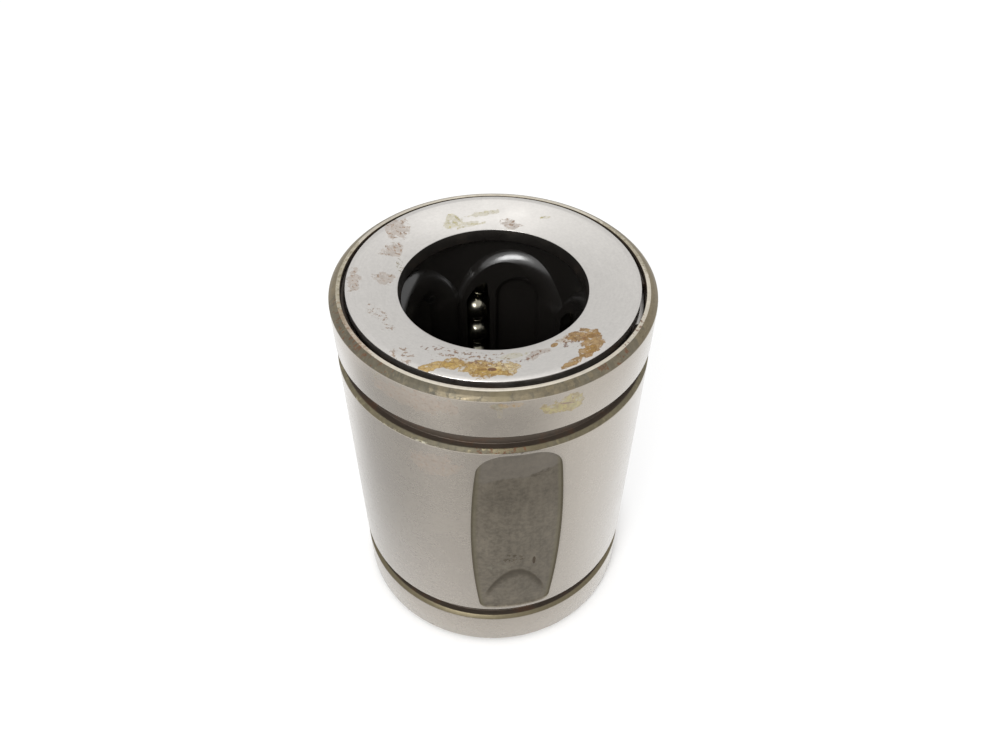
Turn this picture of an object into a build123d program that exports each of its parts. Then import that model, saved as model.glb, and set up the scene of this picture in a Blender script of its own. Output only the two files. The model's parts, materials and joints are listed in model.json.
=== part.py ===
from build123d import *
from math import acos, asin, cos, degrees, floor, hypot, radians, sin, sqrt
import os

os.makedirs("parts", exist_ok=True)

# Closed linear ball bushing for a 5/8 in shaft: a hardened sleeve, a moulded cage with five closed
# ball circuits, two end rings and the two wire snap rings that hold them.
# Millimetres and degrees. Origin at the centre of the lower end face, +Z along the bushing's axis.
# Each circuit is one closed loop of balls: a load row that bears on the shaft, an upper turn, a
# return row that runs clear of the shaft, and a lower turn.

# ---- Driving dimensions ----

# Whole bushing
shaft_diameter = 15.875      # 5/8 in shaft
raceway_wall = 3.165         # sleeve wall behind the raceways: makes the outer diameter 28.575 (1 1/8 in)
length = 38.1                # 1 1/2 in over the end rings

# Balls and their circuits
ball_diameter = 3.175        # 1/8 in
circuit_count = 5
first_row_angle = 100.8      # load row of circuit 1, counted from +X
ball_spacing_gap = 0.025     # between neighbouring balls on a straight row
raceway_clearance = 0.01     # radial, between the load rows and the sleeve's raceways
channel_clearance = 0.12     # between a ball and the cage's channel
channel_web = 0.5            # cage wall between two neighbouring circuits' channels
return_wall = 0.39           # cage wall between a return row's channel and the bore

# Sleeve
cavity_clearance = 0.25      # between the outermost ball of a turn and the sleeve's cavity
land_width = 4.2             # each raceway land, along the arc
land_setback = 0.5           # a raceway stops this far short of the turns
rim_wall = 1.03              # sleeve wall around the end ring's seat
rim_chamfer_width = 0.7      # chamfer outside each rim, across the wall
rim_chamfer_height = 0.48    # and along the axis
sleeve_recess = 0.2          # the sleeve's rims lie this far behind the end rings' faces
retaining_span = 28.04       # over the outer walls of the two retaining ring grooves
retaining_width = 1.422      # each retaining ring groove
retaining_depth = 0.8625     # makes the groove's floor diameter 26.85
retaining_chamfer = 0.33     # on the groove's edges

# Marking field: a shallow bare pocket on the middle land
marking_angle = -81.0        # its middle, counted from +X
marking_width = 8.4
marking_side_bulge = 0.75    # the long sides bow outward
marking_upper_corner_radius = 2.6
marking_lower_corner_radius = 0.9
marking_margin_above = 0.27  # to the upper retaining ring groove's edge
marking_margin_below = 0.4   # to the lower retaining ring groove's edge
marking_depth = 0.12

# End rings
end_ring_thickness = 1.9
end_ring_bore_clearance = 0.2125  # radial, to the shaft
end_ring_land_width = 0.46   # flat outer land of the face, which the bushing stands on
end_ring_dish_depth = 0.87   # the face is dished from the land down to the bore
end_ring_lip_radius = 0.3    # rounded entry of the bore
end_ring_flange_height = 0.5
end_ring_flange_clearance = 0.08  # radial, to the seat
face_gap = 0.45              # open gap between the end ring's face and the rim
end_ring_edge_chamfer = 0.06

# Snap rings: round spring wire, split
wire_diameter = 0.68
wire_seat_clearance = 0.02   # wire to flange, and wire to groove floor
wire_groove_clearance = 0.06  # groove width beyond the wire, above it
wire_depth = 0.29            # how far the wire reaches into the sleeve's wall
wire_split_angle = 24.0      # opening between the wire's ends

# Cage
cage_shaft_clearance = 0.4125  # radial, from the ridges to the shaft
ridge_height = 0.85          # the ridges stand this far proud of the cage's inner wall
ridge_wall = 0.54            # cage wall around a channel, which sets the ridges' round section
cage_wall_outside = 1.3      # from the return row's centre line to the cage's outer wall
cage_land_clearance = 0.12   # between the cage and the raceway lands
cage_flange_height = 0.9
cage_flange_clearance = 0.15  # radial, to the cavity
cage_end_gap = 0.1           # to each end ring
cage_end_wall = 1.5          # cage left beyond the turns' channels

joint_margin = 0.03          # the ball joints that fill a channel's corners are this much larger

# ---- Worked-out sizes ----

shaft_radius = shaft_diameter / 2
ball_radius = ball_diameter / 2
ball_pitch = ball_diameter + ball_spacing_gap
channel_radius = ball_radius + channel_clearance
ridge_radius = channel_radius + ridge_wall
middle = length / 2

raceway_radius = shaft_radius + ball_diameter + raceway_clearance
outer_radius = raceway_radius + raceway_wall

cage_inner_radius = shaft_radius + cage_shaft_clearance
cage_wall_radius = cage_inner_radius + ridge_height
load_row_radius = shaft_radius + ball_radius
return_row_radius = cage_inner_radius + return_wall + channel_radius
cage_outer_radius = return_row_radius + cage_wall_outside


def angle_between(side_a: float, side_b: float, opposite: float) -> float:
    """Angle, in degrees, of a triangle between two sides, by the law of cosines."""
    return degrees(acos((side_a**2 + side_b**2 - opposite**2) / (2 * side_a * side_b)))


# The circuits share the circumference, with a web left between one's load row and the next's return row.
web_angle = angle_between(load_row_radius, return_row_radius, 2 * channel_radius + channel_web)
leg_angle = 360 / circuit_count - web_angle
load_foot = Vector(load_row_radius, 0, 0).rotate(Axis.Z, first_row_angle)
return_foot = Vector(return_row_radius, 0, 0).rotate(Axis.Z, first_row_angle - leg_angle)

# A turn is half a circle over the chord between the two rows. Its plane leans outward, far enough for
# the middle of the turn to lie as far out as the return row.
chord = return_foot - load_foot
turn_radius = chord.length / 2
across = chord.normalized()
outward = across.rotate(Axis.Z, 90)
chord_middle = (load_foot + return_foot) * 0.5
chord_height = chord_middle.dot(outward)
chord_shift = chord_middle.dot(across)
turn_lean = sqrt(return_row_radius**2 - chord_shift**2) - chord_height
turn_tilt = degrees(asin(turn_lean / turn_radius))
turn_rise = turn_radius * cos(radians(turn_tilt))
balls_per_turn = floor(180 / (2 * degrees(asin(ball_pitch / (2 * turn_radius)))))
turn_step = 180 / balls_per_turn

turn_angles = [radians(degree) for degree in range(181)]
turn_reach = max(
    hypot(chord_height + turn_lean * sin(angle), chord_shift - turn_radius * cos(angle)) for angle in turn_angles
)
cavity_radius = turn_reach + ball_radius + cavity_clearance

# The straight rows hold as many balls as the cage has room for between its end walls.
cage_bottom = end_ring_thickness + cage_end_gap
cage_top = length - cage_bottom
leg_space = cage_top - cage_bottom - 2 * (cage_end_wall + channel_radius + turn_rise)
balls_per_row = floor(leg_space / ball_pitch)
leg_length = balls_per_row * ball_pitch

seat_radius = outer_radius - rim_wall
end_ring_bore_radius = shaft_radius + end_ring_bore_clearance
end_ring_face_radius = seat_radius - face_gap
end_ring_flange_radius = seat_radius - end_ring_flange_clearance
wire_radius = wire_diameter / 2
wire_circle_radius = seat_radius + wire_depth - wire_radius
wire_height = length - end_ring_thickness + end_ring_flange_height + wire_seat_clearance + wire_radius


def turn_plane(side: int) -> Plane:
    """Plane of the upper (side 1) or lower (side -1) turn.

    Its origin is the turn's centre, its X axis points to the load row and its Y axis to the turn's middle.
    """
    rise = Vector(0, 0, side)
    lean = rise * cos(radians(turn_tilt)) + outward * sin(radians(turn_tilt))
    centre = chord_middle + Vector(0, 0, middle + side * leg_length / 2)
    return Plane(origin=centre, x_dir=across * -1, z_dir=lean.cross(across))


def circuit_tube(radius: float) -> Part:
    """Closed tube, solid inside, of the given radius around circuit 1's centre line."""
    with BuildPart(mode=Mode.PRIVATE) as tube:
        for foot in (load_foot, return_foot):
            with Locations(foot + Vector(0, 0, middle)):
                Cylinder(radius, leg_length)
            for side in (1, -1):
                with Locations(foot + Vector(0, 0, middle + side * leg_length / 2)):
                    Sphere(radius + joint_margin)
        for side in (1, -1):
            with Locations(turn_plane(side)):
                Torus(turn_radius, radius, major_angle=180, align=None)
    return tube.part


def land_outline(clearance: float) -> Polyline:
    """Section of a raceway land, grown by a clearance: a flat raceway between two 45 degree ramps."""
    flat = leg_length / 2 - land_setback + clearance
    inner = raceway_radius - clearance
    outer = cavity_radius + rim_wall / 2
    foot = flat + outer - inner
    return Polyline(
        (outer, middle - foot),
        (inner, middle - flat),
        (inner, middle + flat),
        (outer, middle + foot),
        close=True,
    )


def land(clearance: float) -> Part:
    """One raceway land of circuit 1, grown by a clearance, as a wedge of revolution."""
    half_angle = degrees((land_width / 2 + clearance) / raceway_radius)
    with BuildPart(mode=Mode.PRIVATE) as wedge:
        with BuildSketch(Plane.XZ.rotated((0, 0, first_row_angle - half_angle))):
            with BuildLine():
                land_outline(clearance)
            make_face()
        revolve(axis=Axis.Z, revolution_arc=2 * half_angle)
    return wedge.part


# ---- Marking field ----
# The shape that is cut into the sleeve's middle land: a prism on a rounded outline, hollowed to the
# field's floor, so that the floor is round like the land.

land_edge = retaining_span / 2 - retaining_width - retaining_chamfer
field_top = middle + land_edge - marking_margin_above
field_bottom = middle - land_edge + marking_margin_below
field_middle = (field_top + field_bottom) / 2
field_plane = Plane(
    origin=Vector(outer_radius + 1, 0, field_middle).rotate(Axis.Z, marking_angle),
    x_dir=Vector(0, 1, 0).rotate(Axis.Z, marking_angle),
    z_dir=Vector(1, 0, 0).rotate(Axis.Z, marking_angle),
)
with BuildPart() as field_cutter:
    with BuildSketch(field_plane) as field_outline:
        half_width = marking_width / 2
        half_height = (field_top - field_bottom) / 2
        corner = half_width - marking_side_bulge
        with BuildLine():
            right = ThreePointArc((corner, -half_height), (half_width, 0), (corner, half_height))
            left = ThreePointArc((-corner, half_height), (-half_width, 0), (-corner, -half_height))
            Line(right @ 1, left @ 0)
            Line(left @ 1, right @ 0)
        make_face()
        corners_by_height = field_outline.vertices().group_by(Axis.Y)
        fillet(corners_by_height[-1], marking_upper_corner_radius)
        fillet(corners_by_height[0], marking_lower_corner_radius)
    extrude(amount=-outer_radius / 2)
    with Locations((0, 0, middle)):
        Cylinder(outer_radius - marking_depth, length, mode=Mode.SUBTRACT)


# ---- Outer sleeve ----
# Hardened and ground tube. Its cavity clears the return rows and the turns; five raceway lands stand
# inward and carry the load rows. Both ends have a seat for an end ring, with a groove for its snap ring.

middle_line = Plane.XZ.offset(-middle)  # in a section drawn on Plane.XZ: mirrors it end for end
sleeve_bottom = sleeve_recess
sleeve_top = length - sleeve_recess
seat_bottom = length - end_ring_thickness
groove_wall = outer_radius - retaining_depth
wire_groove_low = wire_height - wire_radius - wire_seat_clearance
wire_groove_high = wire_height + wire_radius + wire_groove_clearance

with BuildPart() as outer_sleeve:
    with BuildSketch(Plane.XZ) as sleeve_wall:
        with BuildLine():
            Polyline(
                (cavity_radius, sleeve_bottom),
                (outer_radius - rim_chamfer_width, sleeve_bottom),
                (outer_radius, sleeve_bottom + rim_chamfer_height),
                (outer_radius, sleeve_top - rim_chamfer_height),
                (outer_radius - rim_chamfer_width, sleeve_top),
                (cavity_radius, sleeve_top),
                close=True,
            )
        make_face()
    revolve(axis=Axis.Z)

    # Raceway lands
    with PolarLocations(0, circuit_count):
        add(land(0))

    # End ring seats and the snap ring grooves in their walls, mirrored about the middle
    with BuildSketch(Plane.XZ) as seat_section:
        with BuildLine():
            Polyline(
                (cavity_radius / 2, seat_bottom),
                (seat_radius, seat_bottom),
                (seat_radius, wire_groove_low),
                (seat_radius + wire_depth + wire_seat_clearance, wire_groove_low),
                (seat_radius + wire_depth + wire_seat_clearance, wire_groove_high),
                (seat_radius, wire_groove_high),
                (seat_radius, length),
                (cavity_radius / 2, length),
                close=True,
            )
        make_face()
        mirror(about=middle_line)
    revolve(axis=Axis.Z, mode=Mode.SUBTRACT)

    # Retaining ring grooves with chamfered edges
    with BuildSketch(Plane.XZ) as retaining_section:
        groove_low = middle + retaining_span / 2 - retaining_width
        groove_high = middle + retaining_span / 2
        chamfer_floor = outer_radius - retaining_chamfer
        with BuildLine():
            Polyline(
                (groove_wall, groove_low),
                (chamfer_floor, groove_low),
                (outer_radius, groove_low - retaining_chamfer),
                (outer_radius, groove_high + retaining_chamfer),
                (chamfer_floor, groove_high),
                (groove_wall, groove_high),
                close=True,
            )
        make_face()
        mirror(about=middle_line)
    revolve(axis=Axis.Z, mode=Mode.SUBTRACT)

    # Marking field, left bare
    add(field_cutter.part, mode=Mode.SUBTRACT)
outer_sleeve.part.label = "outer_sleeve"
export_step(outer_sleeve.part, "parts/outer_sleeve.step")

# ---- Ball cage ----
# One moulding. Its wall is open outward along every channel, where the sleeve's cavity closes it, and
# open inward along the load rows, through slots too narrow for a ball. On the inside, a rounded ridge
# follows each circuit and covers its return row.

channel = circuit_tube(channel_radius)
ridge_tube = circuit_tube(ridge_radius)
cage_flange_radius = cavity_radius - cage_flange_clearance
ridge_root_radius = (cage_wall_radius + cage_outer_radius) / 2  # the ridges end inside the cage's wall

with BuildPart() as ridges:
    with PolarLocations(0, circuit_count):
        add(ridge_tube)
    with Locations((0, 0, middle)):
        Cylinder(ridge_root_radius, length, mode=Mode.INTERSECT)
        Cylinder(cage_inner_radius, length, mode=Mode.SUBTRACT)

with BuildPart() as ball_cage:
    with BuildSketch(Plane.XZ):
        with BuildLine():
            Polyline(
                (cage_wall_radius, cage_bottom),
                (cage_flange_radius, cage_bottom),
                (cage_flange_radius, cage_bottom + cage_flange_height),
                (cage_outer_radius, cage_bottom + cage_flange_height),
                (cage_outer_radius, cage_top - cage_flange_height),
                (cage_flange_radius, cage_top - cage_flange_height),
                (cage_flange_radius, cage_top),
                (cage_wall_radius, cage_top),
                close=True,
            )
        make_face()
    revolve(axis=Axis.Z)
    add(ridges.part)
    with PolarLocations(0, circuit_count):
        add(channel, mode=Mode.SUBTRACT)
        add(land(cage_land_clearance), mode=Mode.SUBTRACT)
ball_cage.part.label = "ball_cage"
export_step(ball_cage.part, "parts/ball_cage.step")

# ---- End rings ----
# A face with a flat outer land and a shallow dish, a rounded entry to the bore, and a flange that seats
# in the sleeve under the snap ring.

with BuildPart() as end_ring_bottom:
    with BuildSketch(Plane.XZ) as ring_section:
        with BuildLine():
            Polyline(
                (end_ring_bore_radius, end_ring_dish_depth),
                (end_ring_face_radius - end_ring_land_width, 0),
                (end_ring_face_radius, 0),
                (end_ring_face_radius, end_ring_thickness - end_ring_flange_height),
                (end_ring_flange_radius, end_ring_thickness - end_ring_flange_height),
                (end_ring_flange_radius, end_ring_thickness),
                (end_ring_bore_radius, end_ring_thickness),
                close=True,
            )
        make_face()
        fillet(ring_section.vertices().group_by(Axis.X)[0].sort_by(Axis.Y)[0], end_ring_lip_radius)
        chamfer(ring_section.vertices().group_by(Axis.Y)[0].sort_by(Axis.X)[-1], end_ring_edge_chamfer)
    revolve(axis=Axis.Z)
end_ring_bottom.part.label = "end_ring_bottom"
export_step(end_ring_bottom.part, "parts/end_ring_bottom.step")

with BuildPart() as end_ring_top:
    add(end_ring_bottom.part.mirror(Plane.XY.offset(middle)))
end_ring_top.part.label = "end_ring_top"
export_step(end_ring_top.part, "parts/end_ring_top.step")

# ---- Snap rings ----
# Round wire in the sleeve's internal groove, over the end ring's flange.

with BuildPart() as snap_ring_top:
    with BuildSketch(Plane.XZ) as wire_section:
        with Locations((wire_circle_radius, wire_height)):
            Circle(wire_radius)
    revolve(axis=Axis.Z, revolution_arc=360 - wire_split_angle)
snap_ring_top.part.label = "snap_ring_top"
export_step(snap_ring_top.part, "parts/snap_ring_top.step")

with BuildPart() as snap_ring_bottom:
    add(snap_ring_top.part.mirror(Plane.XY.offset(middle)))
snap_ring_bottom.part.label = "snap_ring_bottom"
export_step(snap_ring_bottom.part, "parts/snap_ring_bottom.step")

# ---- Balls ----
# Half a pitch of travel either way brings a row's end ball to the edge of a turn, and its neighbour there
# to the place that it had. Each row and each turn of each circuit is a group of separate balls.


def row_places(foot: Vector) -> list[Vector]:
    """Ball centres of a straight row of circuit 1."""
    first = middle - (balls_per_row - 1) * ball_pitch / 2
    return [foot + Vector(0, 0, first + index * ball_pitch) for index in range(balls_per_row)]


def turn_places(side: int) -> list[Vector]:
    """Ball centres of a turn of circuit 1, half a step away from both rows."""
    plane = turn_plane(side)
    angles = [radians((index + 0.5) * turn_step) for index in range(balls_per_turn)]
    return [plane.from_local_coords(Vector(cos(angle), sin(angle)) * turn_radius) for angle in angles]


ball_groups = {
    "load_row": row_places(load_foot),
    "return_row": row_places(return_foot),
    "upper_turn": turn_places(1),
    "lower_turn": turn_places(-1),
}
for circuit in range(circuit_count):
    for group_name, places in ball_groups.items():
        with BuildPart() as balls:
            with Locations([place.rotate(Axis.Z, circuit * 360 / circuit_count) for place in places]):
                Sphere(ball_radius)
        balls.part.label = f"{group_name}_{circuit + 1}"
        export_step(balls.part, f"parts/{balls.part.label}.step")
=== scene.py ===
"""Closed linear ball bushing for a 5/8 in shaft: surfaces, finishes, light and camera.

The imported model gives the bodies, the boxes, the joints and the mounts. Everything here is in metres in
the same frame: origin at the centre of the lower end face, +Z along the bushing's axis.
"""

import functools
import json
import logging
import math
from dataclasses import dataclass, field
from enum import Enum
from typing import Sequence

import bmesh
import bpy
from mathutils import Matrix, Vector


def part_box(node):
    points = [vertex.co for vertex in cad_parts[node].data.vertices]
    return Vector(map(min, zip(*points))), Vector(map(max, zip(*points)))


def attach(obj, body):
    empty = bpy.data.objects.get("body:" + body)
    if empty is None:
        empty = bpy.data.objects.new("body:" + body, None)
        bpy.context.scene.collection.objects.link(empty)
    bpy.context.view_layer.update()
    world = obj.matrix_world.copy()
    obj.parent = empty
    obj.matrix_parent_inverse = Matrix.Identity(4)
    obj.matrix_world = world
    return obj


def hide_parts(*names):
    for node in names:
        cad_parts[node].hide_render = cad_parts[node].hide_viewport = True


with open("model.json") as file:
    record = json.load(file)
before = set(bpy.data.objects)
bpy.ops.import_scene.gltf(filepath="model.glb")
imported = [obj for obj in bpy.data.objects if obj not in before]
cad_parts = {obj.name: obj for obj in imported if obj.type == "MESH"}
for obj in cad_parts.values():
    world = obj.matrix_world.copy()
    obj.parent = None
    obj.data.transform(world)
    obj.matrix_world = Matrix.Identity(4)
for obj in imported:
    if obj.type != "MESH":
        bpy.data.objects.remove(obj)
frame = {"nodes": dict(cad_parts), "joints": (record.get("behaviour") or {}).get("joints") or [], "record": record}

LOG = logging.getLogger("ball_bushing")
MM = 0.001
LENGTH = 38.1
HOUSING = "bushing_housing"

ORIGIN = (0.0, 0.0, 0.0)
FLAT = (1.0, 1.0, 0.0)
WHITE = (1.0, 1.0, 1.0, 1.0)

# The range that most of a noise's values lie in
NOISE_LOW, NOISE_HIGH = 0.3, 0.7

Numbers = tuple[float, ...]
Point = tuple[float, float]
Spot = tuple[float, float, float]
Colour = tuple[float, float, float, float]
Mesh = bpy.types.Mesh
Material = bpy.types.Material
Piece = bpy.types.Object
Node = bpy.types.Node
Socket = bpy.types.NodeSocket
Sockets = bpy.types.bpy_prop_collection
Shape = bmesh.types.BMesh


class End(Enum):
    """The two ends of the bushing."""

    TOP = "top"
    BOTTOM = "bottom"


class Row(Enum):
    """The straight rows of a ball circuit."""

    LOAD = "load_row"
    RETURN = "return_row"


class Turn(Enum):
    """The turns of a ball circuit."""

    UPPER = "upper_turn"
    LOWER = "lower_turn"


def srgb(red: int, green: int, blue: int) -> Colour:
    """Turn an 8-bit display colour into a linear one.

    Args:
        red: red, 0 to 255.
        green: green, 0 to 255.
        blue: blue, 0 to 255.

    Returns:
        The linear colour, with an alpha of 1.
    """
    def linear(value: int) -> float:
        """Undo the display curve of one channel."""
        share = value / 255
        return share / 12.92 if share <= 0.04045 else ((share + 0.055) / 1.055) ** 2.4

    return (linear(red), linear(green), linear(blue), 1.0)


def named(things: Sequence[dict], name: str) -> dict:
    """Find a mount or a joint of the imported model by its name."""
    return next(thing for thing in things if thing["name"] == name)


def outer_radius() -> float:
    """Give the sleeve's radius in millimetres, as the record's mount says it."""
    return named(frame["record"]["mounts"], "housing_diameter")["dims"]["r_mm"]


def apart(first: float, second: float) -> float:
    """Give how far two angles lie apart, in degrees."""
    return abs((first - second + 180) % 360 - 180)


# ---------------------------------------------------------------- mesh tools


def corner(before: Point, at: Point, after: Point, radius: float, steps: int = 3) -> list[Point]:
    """Round one corner of a section.

    Args:
        before: the point before the corner.
        at: the corner.
        after: the point after the corner.
        radius: how far along both sides the rounding reaches.
        steps: spans that the rounding is made of.

    Returns:
        The points that take the corner's place.
    """
    here = Vector(at)
    back = (Vector(before) - here).normalized() * radius
    ahead = (Vector(after) - here).normalized() * radius
    shares = [step / steps for step in range(steps + 1)]
    return [tuple(here + back * (1 - share) ** 2 + ahead * share**2) for share in shares]


def rounded(section: Sequence[Point], radius: float) -> list[Point]:
    """Round an open section's corners.

    Args:
        section: its points.
        radius: how far along a corner's sides its rounding reaches.

    Returns:
        The section's points, with the two ends as they were.
    """
    points = [section[0]]
    for before, at, after in zip(section, section[1:], section[2:]):
        points += corner(before, at, after, radius)
    return points + [section[-1]]


def cylindrical(radius: float, angle: float, height: float) -> Vector:
    """Turn a radius, an angle in radians and a height into a point."""
    return Vector((radius * math.cos(angle), radius * math.sin(angle), height))


def linked(name: str, data: bpy.types.ID) -> Piece:
    """Make an object and link it to the scene.

    Args:
        name: the object's name.
        data: its mesh, light or camera.

    Returns:
        The object, at the origin.
    """
    thing = bpy.data.objects.new(name, data)
    bpy.context.scene.collection.objects.link(thing)
    return thing


def finished_object(name: str, mesh: Mesh, materials: Sequence[Material], sharp: float = 32.0) -> Piece:
    """Link a mesh as a shaded object that rides on nothing yet.

    Args:
        name: the piece's name.
        mesh: its mesh, in place.
        materials: its finishes, in the order of its slots.
        sharp: edges over this many degrees stay sharp.

    Returns:
        The object, at the origin.
    """
    slots = [face.material_index for face in mesh.polygons]
    mesh.materials.clear()
    for material in materials:
        mesh.materials.append(material)
    mesh.polygons.foreach_set("material_index", slots)
    mesh.polygons.foreach_set("use_smooth", [True] * len(mesh.polygons))
    mesh.set_sharp_from_angle(angle=math.radians(sharp))
    mesh.validate()
    return linked(name, mesh)


def add_band(shape: Shape, first: Sequence, second: Sequence) -> None:
    """Join two closed loops that have as many vertices as each other by a band of faces.

    Args:
        shape: the shape to add to.
        first: one loop's vertices.
        second: the other loop's vertices.
    """
    for index in range(len(first)):
        after = (index + 1) % len(first)
        shape.faces.new((first[index], first[after], second[after], second[index]))


def stored(name: str, shape: Shape) -> Mesh:
    """Store a shape as a mesh and free it.

    Args:
        name: the mesh's name.
        shape: the shape.

    Returns:
        The new mesh.
    """
    mesh = bpy.data.meshes.new(name)
    shape.to_mesh(mesh)
    shape.free()
    return mesh


def closed_mesh(name: str, shape: Shape, weld: float = 1e-7) -> Mesh:
    """Weld a shape and turn its faces outward.

    Args:
        name: the mesh's name.
        shape: the shape, which is freed.
        weld: how near vertices lie that become one, in metres.

    Returns:
        The closed mesh.
    """
    bmesh.ops.remove_doubles(shape, verts=shape.verts, dist=weld)
    bmesh.ops.dissolve_degenerate(shape, edges=shape.edges, dist=weld)
    loose = [vertex for vertex in shape.verts if not vertex.link_faces]
    bmesh.ops.delete(shape, geom=loose, context="VERTS")
    bmesh.ops.recalc_face_normals(shape, faces=shape.faces)
    return stored(name, shape)


def revolved(name: str, section: Sequence[Point], columns: int) -> Mesh:
    """Revolve a closed section about Z.

    Args:
        name: the mesh's name.
        section: its points as radius and height.
        columns: steps round the axis.

    Returns:
        The closed mesh, with its faces pointing outward.
    """
    shape = bmesh.new()
    rings = []
    for column in range(columns):
        angle = math.tau * column / columns
        rings.append([shape.verts.new(cylindrical(radius, angle, height)) for radius, height in section])
    for ring, following in zip(rings, rings[1:] + rings[:1]):
        add_band(shape, ring, following)
    return closed_mesh(name, shape)


# ---------------------------------------------------------------- shader tools


@dataclass
class Wiring:
    """A node tree that is being wired, with short ways to add nodes and links."""

    tree: bpy.types.NodeTree
    prefix: str = "ShaderNode"

    def add(self, kind: str, settings: dict | None = None, **sockets: object) -> Node:
        """Add a node.

        Args:
            kind: the node's type, without the tree's prefix.
            settings: attributes of the node.
            sockets: input sockets by name, underscores for spaces: a value, or an output socket to link.

        Returns:
            The new node.
        """
        node = self.tree.nodes.new(self.prefix + kind)
        for name, value in (settings or {}).items():
            setattr(node, name, value)
        for name, value in sockets.items():
            self.feed(node.inputs[name.replace("_", " ")], value)
        return node

    def feed(self, socket: Socket, value: object) -> None:
        """Link an output to a socket, or set the socket's value."""
        if isinstance(value, Socket):
            self.tree.links.new(value, socket)
        else:
            socket.default_value = value

    def math(self, operation: str, first: object, second: object = 0.0, clamp: bool = False) -> Socket:
        """Add a Math node.

        Args:
            operation: what it does.
            first: its first number, or an output socket.
            second: its second one.
            clamp: True to keep the result between 0 and 1.

        Returns:
            Its output.
        """
        node = self.add("Math", {"operation": operation, "use_clamp": clamp})
        self.feed(node.inputs[0], first)
        self.feed(node.inputs[1], second)
        return node.outputs[0]

    def plus(self, *values: object) -> Socket:
        """Add numbers up."""
        return functools.reduce(functools.partial(self.math, "ADD"), values)

    def times(self, *values: object) -> Socket:
        """Multiply numbers together."""
        return functools.reduce(functools.partial(self.math, "MULTIPLY"), values)

    def minus(self, first: object, second: object) -> Socket:
        """Take one number from another."""
        return self.math("SUBTRACT", first, second)

    def vector(self, operation: str, first: object, second: object = ORIGIN) -> Socket:
        """Add a Vector Math node.

        Args:
            operation: what it does.
            first: its first vector, or an output socket.
            second: its second one, or the number that it is scaled by.

        Returns:
            Its output, which is a number for a length.
        """
        node = self.add("VectorMath", {"operation": operation})
        self.feed(node.inputs[0], first)
        if operation == "LENGTH":
            return node.outputs["Value"]
        self.feed(node.inputs[3 if operation == "SCALE" else 1], second)
        return node.outputs[0]

    def split(self, vector: Socket) -> Sockets:
        """Give a vector's X, Y and Z."""
        return self.add("SeparateXYZ", Vector=vector).outputs

    def own_place(self) -> Socket:
        """Give the place in the piece's own coordinates."""
        return self.add("TexCoord").outputs["Object"]

    def between(
        self, value: object, low: float, high: float, start: float = 0.0, stop: float = 1.0
    ) -> Socket:
        """Map a value smoothly from a range onto another, held at both ends.

        Args:
            value: the value.
            low: the range's foot.
            high: the range's top.
            start: the result at and below the foot.
            stop: the result at and above the top.

        Returns:
            The result.
        """
        node = self.add("MapRange", {"interpolation_type": "SMOOTHSTEP"}, Value=value)
        for socket, number in zip(node.inputs[1:5], (low, high, start, stop)):
            socket.default_value = number
        return node.outputs[0]

    def blend(self, share: object, first: object, second: object, mode: str = "MIX") -> Socket:
        """Mix two colours.

        Args:
            share: how far the second one covers the first.
            first: the first colour.
            second: the second one.
            mode: how they are mixed.

        Returns:
            The mixed colour.
        """
        node = self.add("Mix", {"data_type": "RGBA", "blend_type": mode})
        self.feed(node.inputs["Factor"], share)
        self.feed(node.inputs[6], first)
        self.feed(node.inputs[7], second)
        return node.outputs[2]

    def shaded(self, colour: object, shade: Socket) -> Socket:
        """Multiply a colour by a number."""
        grey = self.add("CombineColor", Red=shade, Green=shade, Blue=shade)
        return self.blend(1.0, colour, grey.outputs[0], "MULTIPLY")

    def noise(self, where: object, scale: float, detail: float = 3.0, roughness: float = 0.6) -> Socket:
        """Add a noise texture and give its value, about 0.5 in the middle."""
        node = self.add("TexNoise", Vector=where, Scale=scale, Detail=detail, Roughness=roughness)
        return node.outputs["Fac"]

    def swing(self, where: object, scale: float, detail: float = 3.0, roughness: float = 0.6) -> Socket:
        """Add a noise texture and give its value about zero."""
        return self.minus(self.noise(where, scale, detail, roughness), 0.5)

    def bump(self, shader: Sockets, height: Socket, strength: float, distance: float = 0.02) -> None:
        """Give a shader a bump, with its distance in millimetres."""
        node = self.add("Bump", Height=height, Strength=strength, Distance=distance * MM)
        self.feed(shader["Normal"], node.outputs[0])

    def surface(self, share: Socket, first: Socket, second: Socket) -> None:
        """Mix two shaders by a share into a material's output."""
        mix = self.add("MixShader")
        for socket, value in zip(mix.inputs, (share, first, second)):
            self.feed(socket, value)
        self.feed(self.tree.nodes["Material Output"].inputs["Surface"], mix.outputs[0])


def new_group(
    name: str, inputs: dict[str, object], outputs: Sequence[str]
) -> tuple[Wiring, Sockets, Sockets]:
    """Start a shader node group.

    Args:
        name: the group's name.
        inputs: defaults by name: a vector or a number.
        outputs: names of the numbers that it gives.

    Returns:
        The group's wiring, what it is given, and what it has to put out.
    """
    tree = bpy.data.node_groups.new(name, "ShaderNodeTree")
    for label, default in inputs.items():
        kind = "NodeSocketVector" if isinstance(default, tuple) else "NodeSocketFloat"
        tree.interface.new_socket(label, in_out="INPUT", socket_type=kind).default_value = default
    for label in outputs:
        tree.interface.new_socket(label, in_out="OUTPUT", socket_type="NodeSocketFloat")
    return Wiring(tree), tree.nodes.new("NodeGroupInput").outputs, tree.nodes.new("NodeGroupOutput").inputs


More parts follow.
